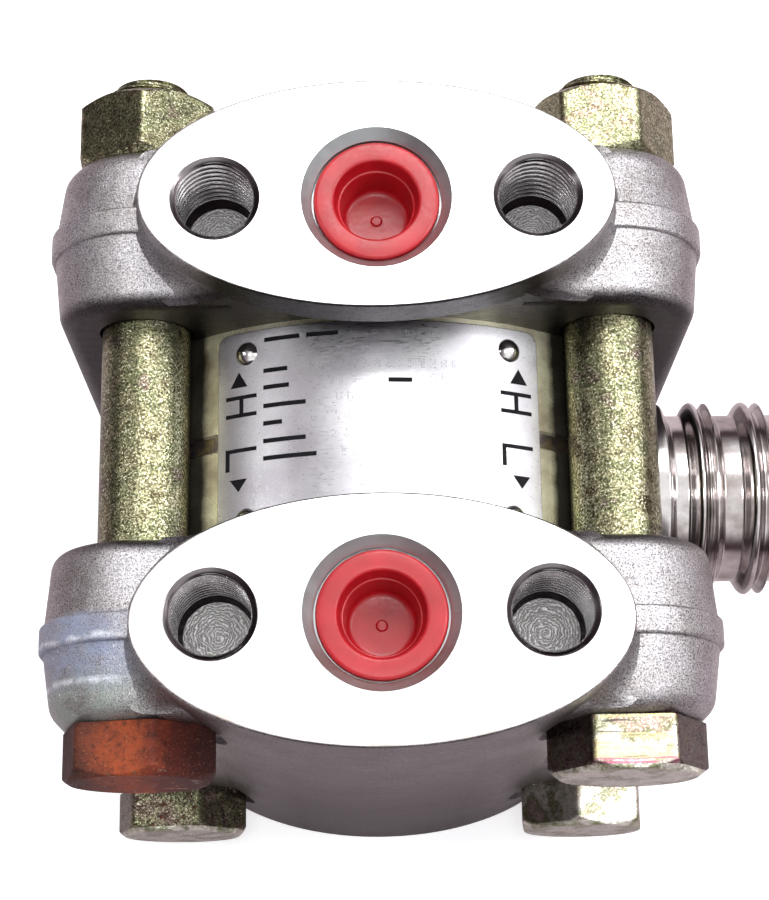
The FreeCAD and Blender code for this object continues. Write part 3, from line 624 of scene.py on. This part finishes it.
zinc_bolt = yellow_zinc("yellow_zinc_plated")
zinc_clean = yellow_zinc("yellow_zinc_bright", "#6F5F58", "#CFC6AE", "#F3F1E6", "#D9C3B8",
                         speckle=0.45)
zinc_nut = yellow_zinc("yellow_zinc_pale", "#31281F", "#7F7858", "#ABA887", "#A98E80", speckle=0.7)
zinc_streaked_and_shaded = yellow_zinc("yellow_zinc_streaked_and_shaded", "#5A3C3C", "#B9AD98", "#E6E2D2", "#C4AA9F",
                         streaks=True, speckle=0.5)
zinc_rusty = yellow_zinc("yellow_zinc_rusted", rust=0.95)
# Painted light: the end faces of the heads get lighter, less metallic copies of the zinc, so they
# read bright.
zinc_rusty_end_lit = yellow_zinc("yellow_zinc_rusted_end_painted_light", light="#C9BDAE", pink="#A58C80", rust=0.72,
                             metallic=0.5)
zinc_end_lit = yellow_zinc("yellow_zinc_end_painted_light", "#2A2422", "#B3AB99", "#E3E0D6", "#C4B8B0",
                       speckle=0.6, metallic=0.4)
zinc_stained = yellow_zinc("yellow_zinc_stained", "#2F2427", "#6F5F57", "#857D68", "#6C5558",
                           rust=0.12, glint_share=0.3)
print("zinc finishes:", sum(m.name.startswith("yellow_zinc") for m in bpy.data.materials))


# %% [markdown]
# ### Turned, ground and brushed steel
# The cell and neck are turned and polished, so they mirror what stands beside them, with faint
# rings round their axis. The plate is brushed: its scratches run one way, so its noise is
# stretched.

# %% Turned steel, brushed plate, weld
def turned_steel(name, axis, colour, roughness, ring_mm=0.35, ring_depth=0.004, shaded_flanks=False):
    """Polished turned steel: rings of noise that changes only along the axis of turning.

    The soiled switch paints shade on the flanks past the nameplate, in the crevice behind the
    bolts.
    """
    steel, shader, place = metal(name)
    squeeze = {"x": (1.0, 0.02, 0.02), "y": (0.02, 1.0, 0.02)}[axis]
    rings = noise(steel, stretch(steel, place, squeeze), ring_mm)
    haze = noise(steel, place, 6.0, detail=4.0, roughness=0.6)
    dark = blend(steel, 1.0, colour, "#B9B0AC", "MULTIPLY")
    tone = blend(steel, remap(steel, haze, 0.40, 0.70), colour, dark)
    if shaded_flanks:
        # Painted shade: the flanks past the nameplate darken to near black.
        flank = calc(steel, "ABSOLUTE", axes(steel, place)["X"])
        wander = calc(steel, "MULTIPLY_ADD", haze, 1.2 * MM, -0.6 * MM)
        deep = remap(steel, calc(steel, "ADD", flank, wander), 22.7 * MM, 23.6 * MM, 0.0, 0.93)
        tone = blend(steel, deep, tone, "#120C0E")
    link(steel, tone, shader, "Base Color")
    link(steel, remap(steel, haze, 0.3, 0.7, roughness, roughness + 0.14), shader, "Roughness")
    bump(steel, shader, rings, ring_depth)
    return steel


cell_steel = turned_steel("turned_stainless_cell", "y", "#E6E3C6", 0.2, shaded_flanks=True)
cell_steel.node_tree.nodes["Principled BSDF"].inputs["Metallic"].default_value = 0.6
neck_steel = turned_steel("turned_stainless_neck", "x", "#CFCBCB", 0.08, ring_mm=0.5,
                          ring_depth=0.006)


def brushed_plate(name):
    """Brushed and etched plate: scratches along X, with a slow grey-violet cast."""
    plate, shader, place = metal(name)
    scratch = noise(plate, stretch(plate, place, (0.03, 1.0, 1.0)), 0.14)
    base = blend(plate, patches(plate, place, 9.0, 0.35, 0.65), "#B4B1B7", "#D0D0D3")
    tone = blend(plate, remap(plate, scratch, 0.45, 0.70, 0.0, 0.35), base, "#A5A2AA")
    link(plate, tone, shader, "Base Color")
    link(plate, remap(plate, scratch, 0.3, 0.7, 0.26, 0.42), shader, "Roughness")
    bump(plate, shader, scratch, 0.006)
    return plate


plate_steel = brushed_plate("brushed_stainless_plate")


def weld_metal(name):
    """Weld bead: heat-tinted, with the ripples of the moving arc."""
    weld, shader, place = metal(name, roughness=0.35)
    tint = blend(weld, patches(weld, place, 2.0, 0.4, 0.65), "#A89A86", "#7C7280")
    link(weld, tint, shader, "Base Color")
    bump(weld, shader, noise(weld, place, 0.5), 0.06)
    return weld


weld_steel = weld_metal("weld_bead_heat_tinted")
print("turned, brushed and welded steels ready")


# %% [markdown]
# ### Red moulded plugs, print and small parts
# The port plugs are soft polyethylene, moulded in strong red: a little light enters the wall, so a
# thin rim glows. The print on the plate is baked enamel, black and slightly glossy.

# %% Moulded plastic, enamel, gasket, header
def moulded_red(name):
    """Low-density polyethylene, injection moulded."""
    plastic, shader, place = metal(name, metallic=0.0)
    tone = blend(plastic, patches(plastic, place, 4.0, 0.35, 0.65), "#960814", "#A8101C")
    link(plastic, tone, shader, "Base Color")
    shader.inputs["IOR"].default_value = 1.51
    shader.inputs["Subsurface Weight"].default_value = 0.25
    shader.inputs["Subsurface Radius"].default_value = (1.0, 0.25, 0.2)
    shader.inputs["Subsurface Scale"].default_value = 1.2 * MM
    fine = noise(plastic, place, 0.5)
    link(plastic, remap(plastic, fine, 0.3, 0.7, 0.30, 0.46), shader, "Roughness")
    bump(plastic, shader, fine, 0.012)
    return plastic


def plain(name, colour, shade, metallic, roughness, grain_mm=0.6):
    """Simple finish with two close tones and a fine grain."""
    paint, shader, place = metal(name, metallic=metallic)
    tone = blend(paint, patches(paint, place, grain_mm * 4, 0.35, 0.65), colour, shade)
    link(paint, tone, shader, "Base Color")
    grain = noise(paint, place, grain_mm, detail=2.0)
    rough = remap(paint, grain, 0.3, 0.7, roughness * 0.85, roughness * 1.15)
    link(paint, rough, shader, "Roughness")
    bump(paint, shader, grain, 0.008)
    return paint


red_plastic = moulded_red("polyethylene_red_moulded")
enamel_black = plain("enamel_black_print", "#0A090C", "#141217", 0.0, 0.65, 0.3)
enamel_black.node_tree.nodes["Principled BSDF"].inputs["Specular IOR Level"].default_value = 0.15
etched_grey = plain("etched_marks_grey", "#9C9AA3", "#B3B1B8", 1.0, 0.45, 0.2)
gasket_white = plain("fluoropolymer_gasket", "#E9E8E2", "#DEDCD3", 0.0, 0.5, 0.5)
foil_steel = plain("diaphragm_foil", "#CFCFD2", "#BDBDC2", 1.0, 0.25, 0.5)
rivet_steel = plain("rivet_bright_steel", "#DEDDDC", "#B9B6B4", 1.0, 0.16, 0.4)
header_alloy = plain("header_nickel_alloy", "#B5AE9F", "#A39C8E", 1.0, 0.3)
pin_gold = plain("pin_gold_plate", "#E2B75A", "#D2A447", 1.0, 0.22, 0.3)
silicon = plain("silicon_die", "#4A4C58", "#3E404C", 1.0, 0.12, 0.4)
vent_steel = plain("vent_plug_stainless", "#B9B5AF", "#A49F99", 1.0, 0.3, 0.5)
print("plain finishes ready")


# %% Tapped steel
SLEEVE_DEPTH = 11.9


def thread_cut(name):
    """Tapped steel with painted light and shade: bright crests and dark roots, both lighter on the
    side walls.
    """
    steel, shader, place = metal(name, roughness=0.2)
    xyz = axes(steel, place)
    dx, dy, distance = from_hole(steel, xyz, HOLE_X)
    wall = remap(steel, calc(steel, "ABSOLUTE", dx), 1.6 * MM, 4.4 * MM)
    groove = remap(steel, distance, 4.98 * MM, 5.16 * MM)
    bottom = calc(steel, "LESS_THAN", xyz["Z"], -SLEEVE_DEPTH * MM)
    groove = calc(steel, "MAXIMUM", groove, bottom)
    # Painted light and shade: crests white, roots near black, side walls painted lighter, the
    # bottom painted dark and the mouth mid grey.
    crest = blend(steel, wall, "#E4E0E2", "#FFFFFF")
    root = blend(steel, wall, "#0E0A0C", "#8F878B")
    root = blend(steel, bottom, root, "#2A2226")
    root = blend(steel, remap(steel, xyz["Z"], -0.45 * MM, -0.25 * MM), root, "#7D787B")
    link(steel, blend(steel, groove, crest, root), shader, "Base Color")
    return steel


thread_steel = thread_cut("thread_cut_stainless")
print("materials made:", len(bpy.data.materials))


# %% [markdown]
# ## Hexagons and threads
# Bolt heads and nuts are hot forged and then turned, so each is a hexagon whose corners a cone has
# cut away. Both shapes are one formula on a polar grid: the smaller of the hexagon's radius and the
# cone's. A thread is the same grid with a radius that dips once per pitch, one turn further round
# for each pitch along.

# %% Shape formulas
# Sizes in millimetres of an M12 bolt and a 7/16-20 hole.
BOLT_RADIUS = 5.9
HEX_HALF_FLATS = 9.0
BOLT_PITCH = 1.75
HOLE_PITCH = 1.27
THREAD_HEIGHT = 0.95


def hexagon_radius(angles, turn):
    """Radius of a hexagon with softened corners: half flats / (sum over sides of cos^p)^(1/p)."""
    sharpness = 44.0
    sides = np.arange(6)[:, None] * math.pi / 3 + math.pi / 6 + turn
    reach = np.clip(np.cos(angles[None, :] - sides), 0.0, None) ** sharpness
    return HEX_HALF_FLATS / reach.sum(0) ** (1.0 / sharpness)


def thread_dip(heights, angles, pitch):
    """0 on a crest and 1 in a root: a clipped triangle wave of height / pitch - turns."""
    phase = np.mod(heights[:, None] / pitch - angles[None, :] / (2 * math.pi), 1.0)
    return np.clip(2.5 * (1.0 - 2.0 * np.abs(phase - 0.5)) * 0.55 - 0.12, 0.0, 1.0)


def hex_rows(start, end, chamfer_end, turn, angles):
    """Rows of a hexagonal block from start to end: min(hexagon, cone of each chamfered end).

    The start is always chamfered, and every end face is eased by a hair at its edge.
    """
    cone_slope, flat_radius, drop, hair = 1.35, HEX_HALF_FLATS * 0.975, 1.35, 0.06
    heights = np.array([start, start + hair, *np.linspace(start + 0.2, start + drop, 6),
                        *np.linspace(end - drop, end - 0.2, 6), end - hair, end])
    radius = np.tile(hexagon_radius(angles, turn), (len(heights), 1))
    for chamfered, depth in ((True, heights - start), (chamfer_end, end - heights)):
        eased = np.where(depth < 0.05, hair, 0.0)[:, None]
        if chamfered:
            radius = np.minimum(radius, flat_radius + depth[:, None] * cone_slope - eased)
        else:
            radius = radius - eased
    return heights, radius


def finish_grid(name, radius, heights, centre, materials, closed_profile=False, head_end=None):
    """Object along Y from rows of radii in mm, capped where a row's radius is zero.

    With head_end, in metres, it has three finishes: head, shank, and the end face of the head.
    """
    points, faces = turned(radius * MM, heights * MM, radius.shape[1], "y", centre, closed_profile)
    piece = mesh_piece(name, points, faces, materials[0], 38.0)
    if head_end is not None:
        for material in materials[1:]:
            piece.data.materials.append(material)
        centres = np.empty(len(piece.data.polygons) * 3)
        piece.data.polygons.foreach_get("center", centres)
        along = centres.reshape(-1, 3)[:, 1]
        end_face = along < heights[0] * MM + 0.7 * MM
        index = np.where(along > head_end, 1, np.where(end_face, 2, 0))
        piece.data.polygons.foreach_set("material_index", index.astype(np.int32))
    return piece


lowest = thread_dip(np.linspace(0, 2, 9), np.zeros(1), HOLE_PITCH).min()
print("thread dips run from", lowest, "to 1")

# %% [markdown]
# ## Bolts and nuts
# Four bolts stand through both heads. Their heads are on the low-pressure side and their nuts on
# the other. The turn of each hexagon is its own, as a spanner left it.

# %% Bolts
bolt_finish = {"front_left": (zinc_rusty, zinc_bolt, zinc_rusty_end_lit),
               "front_right": (zinc_streaked_and_shaded, zinc_bolt, zinc_end_lit),
               "back_left": (zinc_stained, zinc_bolt, zinc_end_lit),
               "back_right": (zinc_clean, zinc_bolt, zinc_end_lit)}
hex_turns = {"front_left": (13.4, 30.4), "front_right": (0.4, 4.4),
             "back_left": (12.5, 41.0), "back_right": (37.2, 12.0)}
hex_steps = 192
angles = np.linspace(0, 2 * math.pi, hex_steps, endpoint=False)
all_round = np.ones((1, hex_steps))
end_face_radii = np.linspace(1.6, 8.0, 5)[:, None]
nut_bore = BOLT_RADIUS + 0.025
mouth_radii = np.array([nut_bore + 0.5, nut_bore, nut_bore, nut_bore + 0.5])[:, None]
for place, (head_turn, nut_turn) in hex_turns.items():
    low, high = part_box("bolt_" + place)
    nut_low, nut_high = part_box("nut_" + place)
    centre = ((low.x + high.x) / 2, 0.0, (low.z + high.z) / 2)
    head_start, seat, tip = low.y / MM, -nut_low.y / MM, high.y / MM
    plain_end = nut_high.y / MM - 1.6
    heights, radius = hex_rows(head_start, seat, False, math.radians(head_turn), angles)
    shank = np.concatenate([[seat, seat + 0.3], np.linspace(seat + 1.0, plain_end, 40)])
    thread_rows = np.linspace(plain_end + 0.02, tip, int((tip - plain_end) / BOLT_PITCH * 16))
    cut = BOLT_RADIUS - 0.02 - THREAD_HEIGHT * thread_dip(thread_rows, angles, BOLT_PITCH)
    taper = np.clip(BOLT_RADIUS - 0.95 + (tip - thread_rows) * 0.9, 0, BOLT_RADIUS)[:, None]
    rows = np.concatenate([[head_start] * 6, heights, shank, thread_rows, [tip]])
    radii = np.concatenate([0.0 * all_round, end_face_radii * all_round, radius,
                            np.full((len(shank), hex_steps), BOLT_RADIUS),
                            np.minimum(cut, taper), 0.0 * all_round])
    piece = finish_grid("bolt_" + place + "_forged", radii, rows, centre, bolt_finish[place],
                        head_end=seat * MM)
    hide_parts("bolt_" + place)
    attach(piece, "meter_body")

    start, end = nut_low.y / MM, nut_high.y / MM
    heights, radius = hex_rows(start, end, True, math.radians(nut_turn), angles)
    mouth = np.array([end, end - 0.5, start + 0.5, start])
    nut_finish = zinc_nut if place == "front_right" else zinc_bolt
    nut = finish_grid("nut_" + place + "_forged",
                      np.concatenate([radius, mouth_radii * all_round]),
                      np.concatenate([heights, mouth]), centre, (nut_finish,), closed_profile=True)
    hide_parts("nut_" + place)
    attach(nut, "meter_body")
print("bolts and nuts:", len(hex_turns), "of each")

# %% [markdown]
# ## Threads in the mounting holes
# The four holes are tapped 7/16-20. The solid has a plain bore as wide as the countersink at the
# thread's mouth, so what is drawn here is the metal between that bore and the thread: a sleeve with
# a ridged inside and a countersunk mouth.

# %% Thread sleeves
sleeve_steps = 96
sleeve_angles = np.linspace(0, 2 * math.pi, sleeve_steps, endpoint=False)
bore_radius = HOLE_RADIUS / MM
crest_radius, root_radius, countersink_slope = 4.92, 5.48, 1.35
inner_rows = np.linspace(-0.02, -SLEEVE_DEPTH, int(SLEEVE_DEPTH / HOLE_PITCH * 18))
dip = thread_dip(inner_rows, sleeve_angles, HOLE_PITCH)
inner = np.maximum(root_radius - (root_radius - crest_radius) * dip,
                   bore_radius - 0.04 + inner_rows[:, None] * countersink_slope)
run_out = [(5.45, -12.0), (5.45, -12.8), (4.5, -13.9), (4.5, -14.1), (4.62, -14.14), (5.75, -12.8)]
ring = np.ones((1, sleeve_steps))
rows = np.concatenate([inner_rows, [z for _, z in run_out], [-0.02]])
radii = np.concatenate([inner] + [r * ring for r, _ in run_out] + [(bore_radius - 0.02) * ring])
for side_x in (-1, 1):
    for side_y, side_name in ((-1, "low"), (1, "high")):
        points, faces = turned(radii * MM, rows * MM, sleeve_steps, "z",
                               (side_x * HOLE_X, side_y * HOLE_Y, 0.0), closed_profile=True)
        name = "thread_%s_%s" % (side_name, "left" if side_x < 0 else "right")
        sleeve = mesh_piece(name, points, faces, thread_steel, 50.0)
        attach(sleeve, "meter_body")
print("thread turns drawn in each hole:", round(SLEEVE_DEPTH / HOLE_PITCH, 1))

# %% [markdown]
# ## Port plugs
# Each plug is a thin cup with a flange, moulded in one shot. Its rims are rounded by the mould, and
# a small nub in the floor shows where the plastic was injected.

# %% Port plugs
FLANGE_THICKNESS = 1.5
for side in ("high", "low"):
    low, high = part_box("port_plug_" + side)
    top, bottom = high.z / MM, low.z / MM
    centre = ((low.x + high.x) / 2, (low.y + high.y) / 2, 0.0)
    flange = (high.x - low.x) / 2 / MM
    seat = top - FLANGE_THICKNESS
    profile = rounded_profile([
        (0.0, bottom, 0.0), (6.25, bottom, 0.5), (6.66, seat, 0.0), (flange, seat, 0.25),
        (flange, top, 0.55), (5.45, top, 0.5), (4.98, top - 2.25, 0.35), (4.72, top - 2.3, 0.25),
        (4.3, top - 7.25, 0.9), (0.75, top - 7.3, 0.12), (0.6, top - 7.05, 0.15),
        (0.0, top - 7.02, 0.0)])
    points, faces = turned(profile[:, 0] * MM, profile[:, 1] * MM, 120, "z", centre)
    plug = mesh_piece("port_plug_%s_moulded" % side, points, faces, red_plastic, 40.0)
    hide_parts("port_plug_" + side)
    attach(plug, "plug_" + side)
print("plug flange radius", round(flange, 2), "mm")

# %% [markdown]
# ## Neck
# The neck is one turned piece. Its double ridges leave grooves that stop heat and save weight, and
# a lathe leaves no sharp inside corners, so the profile is smoothed before it is turned.

# %% Neck
neck_low, neck_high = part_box("neck")
neck_end = neck_high.x / MM
start_x = neck_low.x / MM
collar_length, waist_length, ridges, pitch = 3.8, 2.7, 3, 7.6
collar_end = cell_high.x / MM + collar_length
first_ridge = collar_end + waist_length
crest_r, root_r, collar_r, end_r, bore_r = 14.2, 12.2, 13.9, 13.0, 9.5
knots = [(start_x, collar_r), (collar_end - 0.35, collar_r), (collar_end + 0.1, root_r + 0.35),
         (collar_end + 0.5, root_r)]
for i in range(ridges):
    begin = first_ridge + i * pitch
    knots += [(begin - 0.2, root_r), (begin + 0.25, root_r + 0.7), (begin + 0.8, crest_r - 0.35),
              (begin + 1.4, crest_r), (begin + 1.9, crest_r - 0.25), (begin + 2.45, root_r + 0.75),
              (begin + 2.75, root_r + 0.35), (begin + 3.05, root_r + 0.5),
              (begin + 3.35, crest_r - 0.1), (begin + 3.65, crest_r - 0.05),
              (begin + 4.0, root_r + 0.9), (begin + 4.6, root_r)]
last_root = first_ridge + ridges * pitch
knots += [(last_root - 0.3, root_r), (last_root, root_r + 0.1), (last_root + 0.15, end_r),
          (neck_end - 1.0, end_r), (neck_end, end_r - 1.0)]
knots = np.array(knots)
along = np.linspace(start_x, neck_end, 330)
shape = np.interp(along, knots[:, 0], knots[:, 1])
kernel = np.array([1.0, 2.0, 3.0, 2.0, 1.0]) / 9.0
smooth = np.convolve(np.pad(shape, 2, mode="edge"), kernel, mode="valid")
smooth[[0, -1]] = shape[[0, -1]]
floor_x = collar_end - 1.0
neck_rows = np.concatenate([[start_x], along, [neck_end, floor_x + 0.3, floor_x, floor_x]])
neck_radii = np.concatenate([[0.0], smooth, [bore_r, bore_r, bore_r - 0.3, 0.0]])
points, faces = turned(neck_radii * MM, neck_rows * MM, 112, "x", (0.0, 0.0, AXIS_Z))
neck = mesh_piece("neck_turned", points, faces, neck_steel, 40.0)
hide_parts("neck")
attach(neck, "meter_body")
print("neck runs from", round(start_x, 1), "to", round(neck_end, 1), "mm")

# %% [markdown]
# ## Nameplate
# The plate says which side is which, with an arrow at each letter. The rest of a real plate is
# print that belongs to its maker, so plain bars stand where lines of text would be. The plate is
# part of a cylinder, so the sheet and each mark are laid out flat, in millimetres across the chord
# and along the axis, and then wrapped. Both are drawn here because print is thinner than the flats
# of a CAD mesh.

# %% Nameplate sheet
PLATE_COLUMNS, PLATE_ROWS = 81, 9


def sheet_grid(half_x, half_y, lowered):
    """Grid over a rectangle with rounded corners, wrapped on the plate's circle.

    At x the sheet reaches y = half_y - corner + sqrt(corner^2 - over^2), where over is how far x is
    into the corner. The height is sqrt(R^2 - x^2), lowered towards the axis.
    """
    corner = 1.5
    x = half_x * np.sin(np.linspace(-math.pi / 2, math.pi / 2, PLATE_COLUMNS))
    over = np.clip(np.abs(x) - (half_x - corner), 0, corner)
    reach_y = half_y - corner + np.sqrt(corner ** 2 - over ** 2)
    y = reach_y[:, None] * np.linspace(-1, 1, PLATE_ROWS)[None, :]
    angle = np.broadcast_to(np.arcsin(x / (PLATE_RADIUS / MM))[:, None], y.shape)
    radius = PLATE_RADIUS / MM - lowered
    xyz = np.stack([radius * np.sin(angle), y, AXIS_Z / MM + radius * np.cos(angle)], -1)
    return xyz.reshape(-1, 3) * MM


half_x, half_y = plate_high.x / MM, plate_high.y / MM
thickness = (PLATE_RADIUS - CELL_RADIUS) / MM - 0.01
bevel = 0.12
numbers = np.arange(PLATE_COLUMNS * PLATE_ROWS).reshape(PLATE_COLUMNS, PLATE_ROWS)
rim = np.concatenate([numbers[:-1, 0], numbers[-1, :-1], numbers[:0:-1, -1], numbers[0, :0:-1]])
top = sheet_grid(half_x - bevel, half_y - bevel, 0.0)
edge = sheet_grid(half_x, half_y, bevel)[rim]
under = sheet_grid(half_x, half_y, thickness)
first_edge, first_under = len(top), len(top) + len(edge)
top_faces = np.array(grid_faces(PLATE_COLUMNS, PLATE_ROWS))
edge_ring = np.arange(len(rim)) + first_edge
strips = [np.stack([a, np.roll(a, -1), np.roll(b, -1), b], -1)
          for a, b in ((rim, edge_ring), (edge_ring, rim + first_under))]
sheet_faces = (top_faces.tolist() + (top_faces[:, ::-1] + first_under).tolist()
               + strips[0].tolist() + strips[1].tolist())
sheet = mesh_piece("nameplate_sheet", np.concatenate([top, edge, under]), sheet_faces,
                   plate_steel, 30.0)
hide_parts("nameplate")
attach(sheet, "meter_body")
print("nameplate", round(2 * half_x, 1), "by", round(2 * half_y, 1), "mm")
print("plate thickness", round(thickness, 2), "mm")

# %% Nameplate print
def wrapped_marks(name, polygons, material):
    """Closed thin plates on the curved nameplate.

    Each polygon is four corners (x, y) in mm. A point at x lies on the plate's circle at height
    sqrt(R^2 - x^2), raised by lift; the underside is the same point lowered by depth.
    """
    cells, lift, depth = 5, 0.03, 0.05
    points, faces = [], []
    for corners in polygons:
        a, b, c, d = (np.array(p, float) for p in corners)
        s = np.linspace(0, 1, cells)[:, None, None]
        t = np.linspace(0, 1, 2)[None, :, None]
        flat = (a * (1 - s) + b * s) * (1 - t) + (d * (1 - s) + c * s) * t
        for offset in (lift, -depth):
            radius = PLATE_RADIUS / MM + offset
            angle = np.arcsin(flat[..., 0] / (PLATE_RADIUS / MM))
            xyz = np.stack([radius * np.sin(angle), flat[..., 1],
                            AXIS_Z / MM + radius * np.cos(angle)], -1)
            points.append(xyz.reshape(-1, 3) * MM)
        base = sum(len(p) for p in points[:-2])
        half = cells * 2
        top = np.array(grid_faces(cells, 2))
        faces += (top[:, ::-1] + base).tolist() + (top + base + half).tolist()
        rim = np.concatenate([np.arange(0, half, 2), np.arange(half - 1, 0, -2)])
        after = np.roll(rim, -1)
        faces += (np.stack([rim, after, after + half, rim + half], -1) + base).tolist()
    return mesh_piece(name, np.concatenate(points), faces, material, 20.0)


def bar(x0, y0, x1, y1):
    """Rectangle from one corner to the other."""
    return [(x0, y0), (x1, y0), (x1, y1), (x0, y1)]


def letter(strokes, corner_x, corner_y):
    """Letter turned a quarter clockwise, from strokes that are boxes on a unit grid.

    A grid point (across, up) lands at (corner_x + up * tall, corner_y - across * wide).
    """
    tall, wide = 4.15, 3.0
    return [bar(corner_x + v0 * tall, corner_y - u1 * wide,
                corner_x + v1 * tall, corner_y - u0 * wide) for u0, v0, u1, v1 in strokes]


def triangle(x, y, up):
    """Arrow head pointing along Y."""
    half, height = 1.15, 2.1 if up else -1.7
    return [(x - half, y), (x + half, y), (x + 0.01, y + height), (x - 0.01, y + height)]


H_STROKES = ((0.0, 0.0, 0.18, 1.0), (0.82, 0.0, 1.0, 1.0), (0.18, 0.44, 0.82, 0.57))
L_STROKES = ((0.0, 0.0, 0.18, 1.0), (0.18, 0.0, 1.0, 0.13))
marks = []
for letter_x, arrow_x in ((-20.15, -18.4), (16.05, 18.55)):
    marks += letter(H_STROKES, letter_x, 5.7)
    marks += letter(L_STROKES, letter_x, -1.55)
    marks += [triangle(arrow_x, 6.85, True), triangle(arrow_x, -5.75, False)]
# Each bar stands for one word, and is as long and about as heavy as the word.
words = [(12.6, -15.0, -10.3), (12.6, -9.4, -5.2), (8.3, -15.1, -11.9), (6.0, -15.1, -11.7),
         (3.45, -15.1, -9.5), (1.05, -15.1, -12.6), (-1.35, -15.1, -9.5), (-3.7, -15.1, -8.1),
         (5.9, 1.3, 4.4)]
bar_height = 0.6
marks += [bar(left, low_y, right, low_y + bar_height) for low_y, left, right in words]
print_black = wrapped_marks("nameplate_print", marks, enamel_black)
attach(print_black, "meter_body")
# The stamped lines beside them are dots, set by chance on a grid, so they spell nothing.
chance = np.random.default_rng(7)
dot, step_x, step_y, share = 0.17, 0.29, 0.27, 0.42
stamped = ((12.0, -3.6, 9.5), (9.9, -7.0, 9.0), (7.9, -9.2, 10.5), (5.9, -8.0, -2.0),
           (5.9, 6.8, 9.8), (3.4, -5.5, 1.5), (1.0, -8.8, 6.5), (-1.5, -6.0, 7.0),
           (-3.9, -4.8, 6.0))
faint = []
for low_y, left, right in stamped:
    dots_x, dots_y = int((right - left) / step_x), 5
    grid_x, grid_y = np.meshgrid(np.arange(dots_x), np.arange(dots_y), indexing="ij")
    kept = (chance.random(grid_x.shape) < share) & (grid_x % 5 < 3)
    faint += [bar(x, y, x + dot, y + dot)
              for x, y in zip(left + step_x * grid_x[kept], low_y + step_y * grid_y[kept])]
print_faint = wrapped_marks("nameplate_dot_marks", faint, etched_grey)
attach(print_faint, "meter_body")
print("black marks:", len(marks), "faint marks:", len(faint))

# %% [markdown]
# ## Run-out of the cast root
# The concave root under each boss has to die away on the rounded shoulder, the way a patternmaker
# blends it with putty. The solid's root is cut off there, so a small piece carries it on and lets
# its radius shrink to nothing.

# %% Root run-out
# In millimetres and degrees: the boss's half axes at its root and its offset beyond the port, the
# ellipse angles where the run-out starts, ends, rises and falls, its radius, and the shoulder.
BOSS_X, BOSS_Y, BOSS_OFFSET = 30.6, 15.65, 0.7
RUN_START, RUN_END, RISE, FALL = 12.0, 39.5, 10.0, 11.5
LEAST_RADIUS, FULL_RADIUS = 0.12, 4.62
SHOULDER_Y, SHOULDER_RADIUS = 34.6, 3.4


def root_piece(name, side_y, material):
    """Concave fillet along the ends of the boss ellipse, on both faces, fading to nothing.

    At ellipse angle t the section is a quarter circle of radius R(t): it stands off the boss by
    R (1 - cos a) and lies R sin a below where it starts, for a from 0 to 85 degrees. R rises and
    falls by the smooth step 3 f^2 - 2 f^3 of how far t is from either end.
    """
    steps = 60
    arc = np.radians(np.linspace(0, 85, 9))
    t = np.linspace(RUN_START, RUN_END, steps)
    fade = np.clip((t - RUN_START) / RISE, 0, 1) * np.clip((RUN_END - t) / FALL, 0, 1)
    t = np.radians(t)
    radius = LEAST_RADIUS + FULL_RADIUS * (fade * fade * (3 - 2 * fade))
    over = np.clip(HOLE_Y / MM + BOSS_OFFSET + BOSS_Y * np.sin(t) - SHOULDER_Y, 0, 3.2)
    foot = -8.02 - (SHOULDER_RADIUS - np.sqrt(SHOULDER_RADIUS ** 2 - over ** 2)) * 1.2
    curve_stand = radius[:, None] * (1 - np.cos(arc))[None, :] - 0.1
    curve_z = foot[:, None] + radius[:, None] * (1.0 - np.sin(arc))[None, :]
    buried = np.full((steps, 1), -1.2)
    stand = np.concatenate([buried, curve_stand, buried], 1)
    z = np.concatenate([curve_z[:, :1] + 0.02, curve_z, curve_z[:, -1:] - 0.3], 1)
    count = z.shape[1]
    points, faces = [], []
    for flip in (False, True):
        for side_x in (-1, 1):
            x = (BOSS_X + stand) * np.cos(t)[:, None] * side_x
            y = (HOLE_Y / MM + BOSS_OFFSET + (BOSS_Y + stand) * np.sin(t)[:, None]) * side_y
            height = 2 * AXIS_Z / MM - z if flip else z
            first = sum(len(p) for p in points)
            last = first + (steps - 1) * count
            points.append(np.stack([x, y, height], -1).reshape(-1, 3) * MM)
            faces += (np.array(grid_faces(steps, count, wrap_columns=True)) + first).tolist()
            faces += [list(range(first, first + count)), list(range(last, last + count))]
    return mesh_piece(name, np.concatenate(points), faces, material, 50.0)


for side, side_y, casting in (("high", 1, cast_plain), ("low", -1, cast_bloomed_and_shaded)):
    root_blend = root_piece("root_runout_" + side, side_y, casting)
    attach(root_blend, "meter_body")
print("root run-outs:", len(root_blend.data.vertices), "points on each head")

# %% [markdown]
# ## Finishes of the CAD nodes
# The other nodes keep their CAD shape. Each gets the finish of its record slot, set on the material
# slots that the import made.

# %% Finishes of the CAD nodes
finishes = {
    "head_high": cast_plain, "head_low": cast_bloomed_and_shaded,
    "cell_half_high": cell_steel, "cell_half_low": cell_steel,
    "girth_weld": weld_steel, "neck_weld": weld_steel,
    "vent_plug_high": vent_steel, "vent_plug_low": vent_steel,
    "nameplate_rivets": rivet_steel,
    "barrier_diaphragm_high": foil_steel, "barrier_diaphragm_low": foil_steel,
    "overload_diaphragm": foil_steel,
    "head_gasket_high": gasket_white, "head_gasket_low": gasket_white,
    "fill_ball_high": rivet_steel, "fill_ball_low": rivet_steel,
    "sensor_header": header_alloy, "sensor_chip": silicon, "header_pins": pin_gold,
}
for node, material in finishes.items():
    for material_slot in frame["nodes"][node].material_slots:
        material_slot.material = material
print("CAD nodes finished:", len(finishes))

# %% [markdown]
# ## Render settings
# Colours are shown as they are, with no film curve.

# %% Finish
scene = bpy.context.scene
scene.view_settings.view_transform = "Standard"
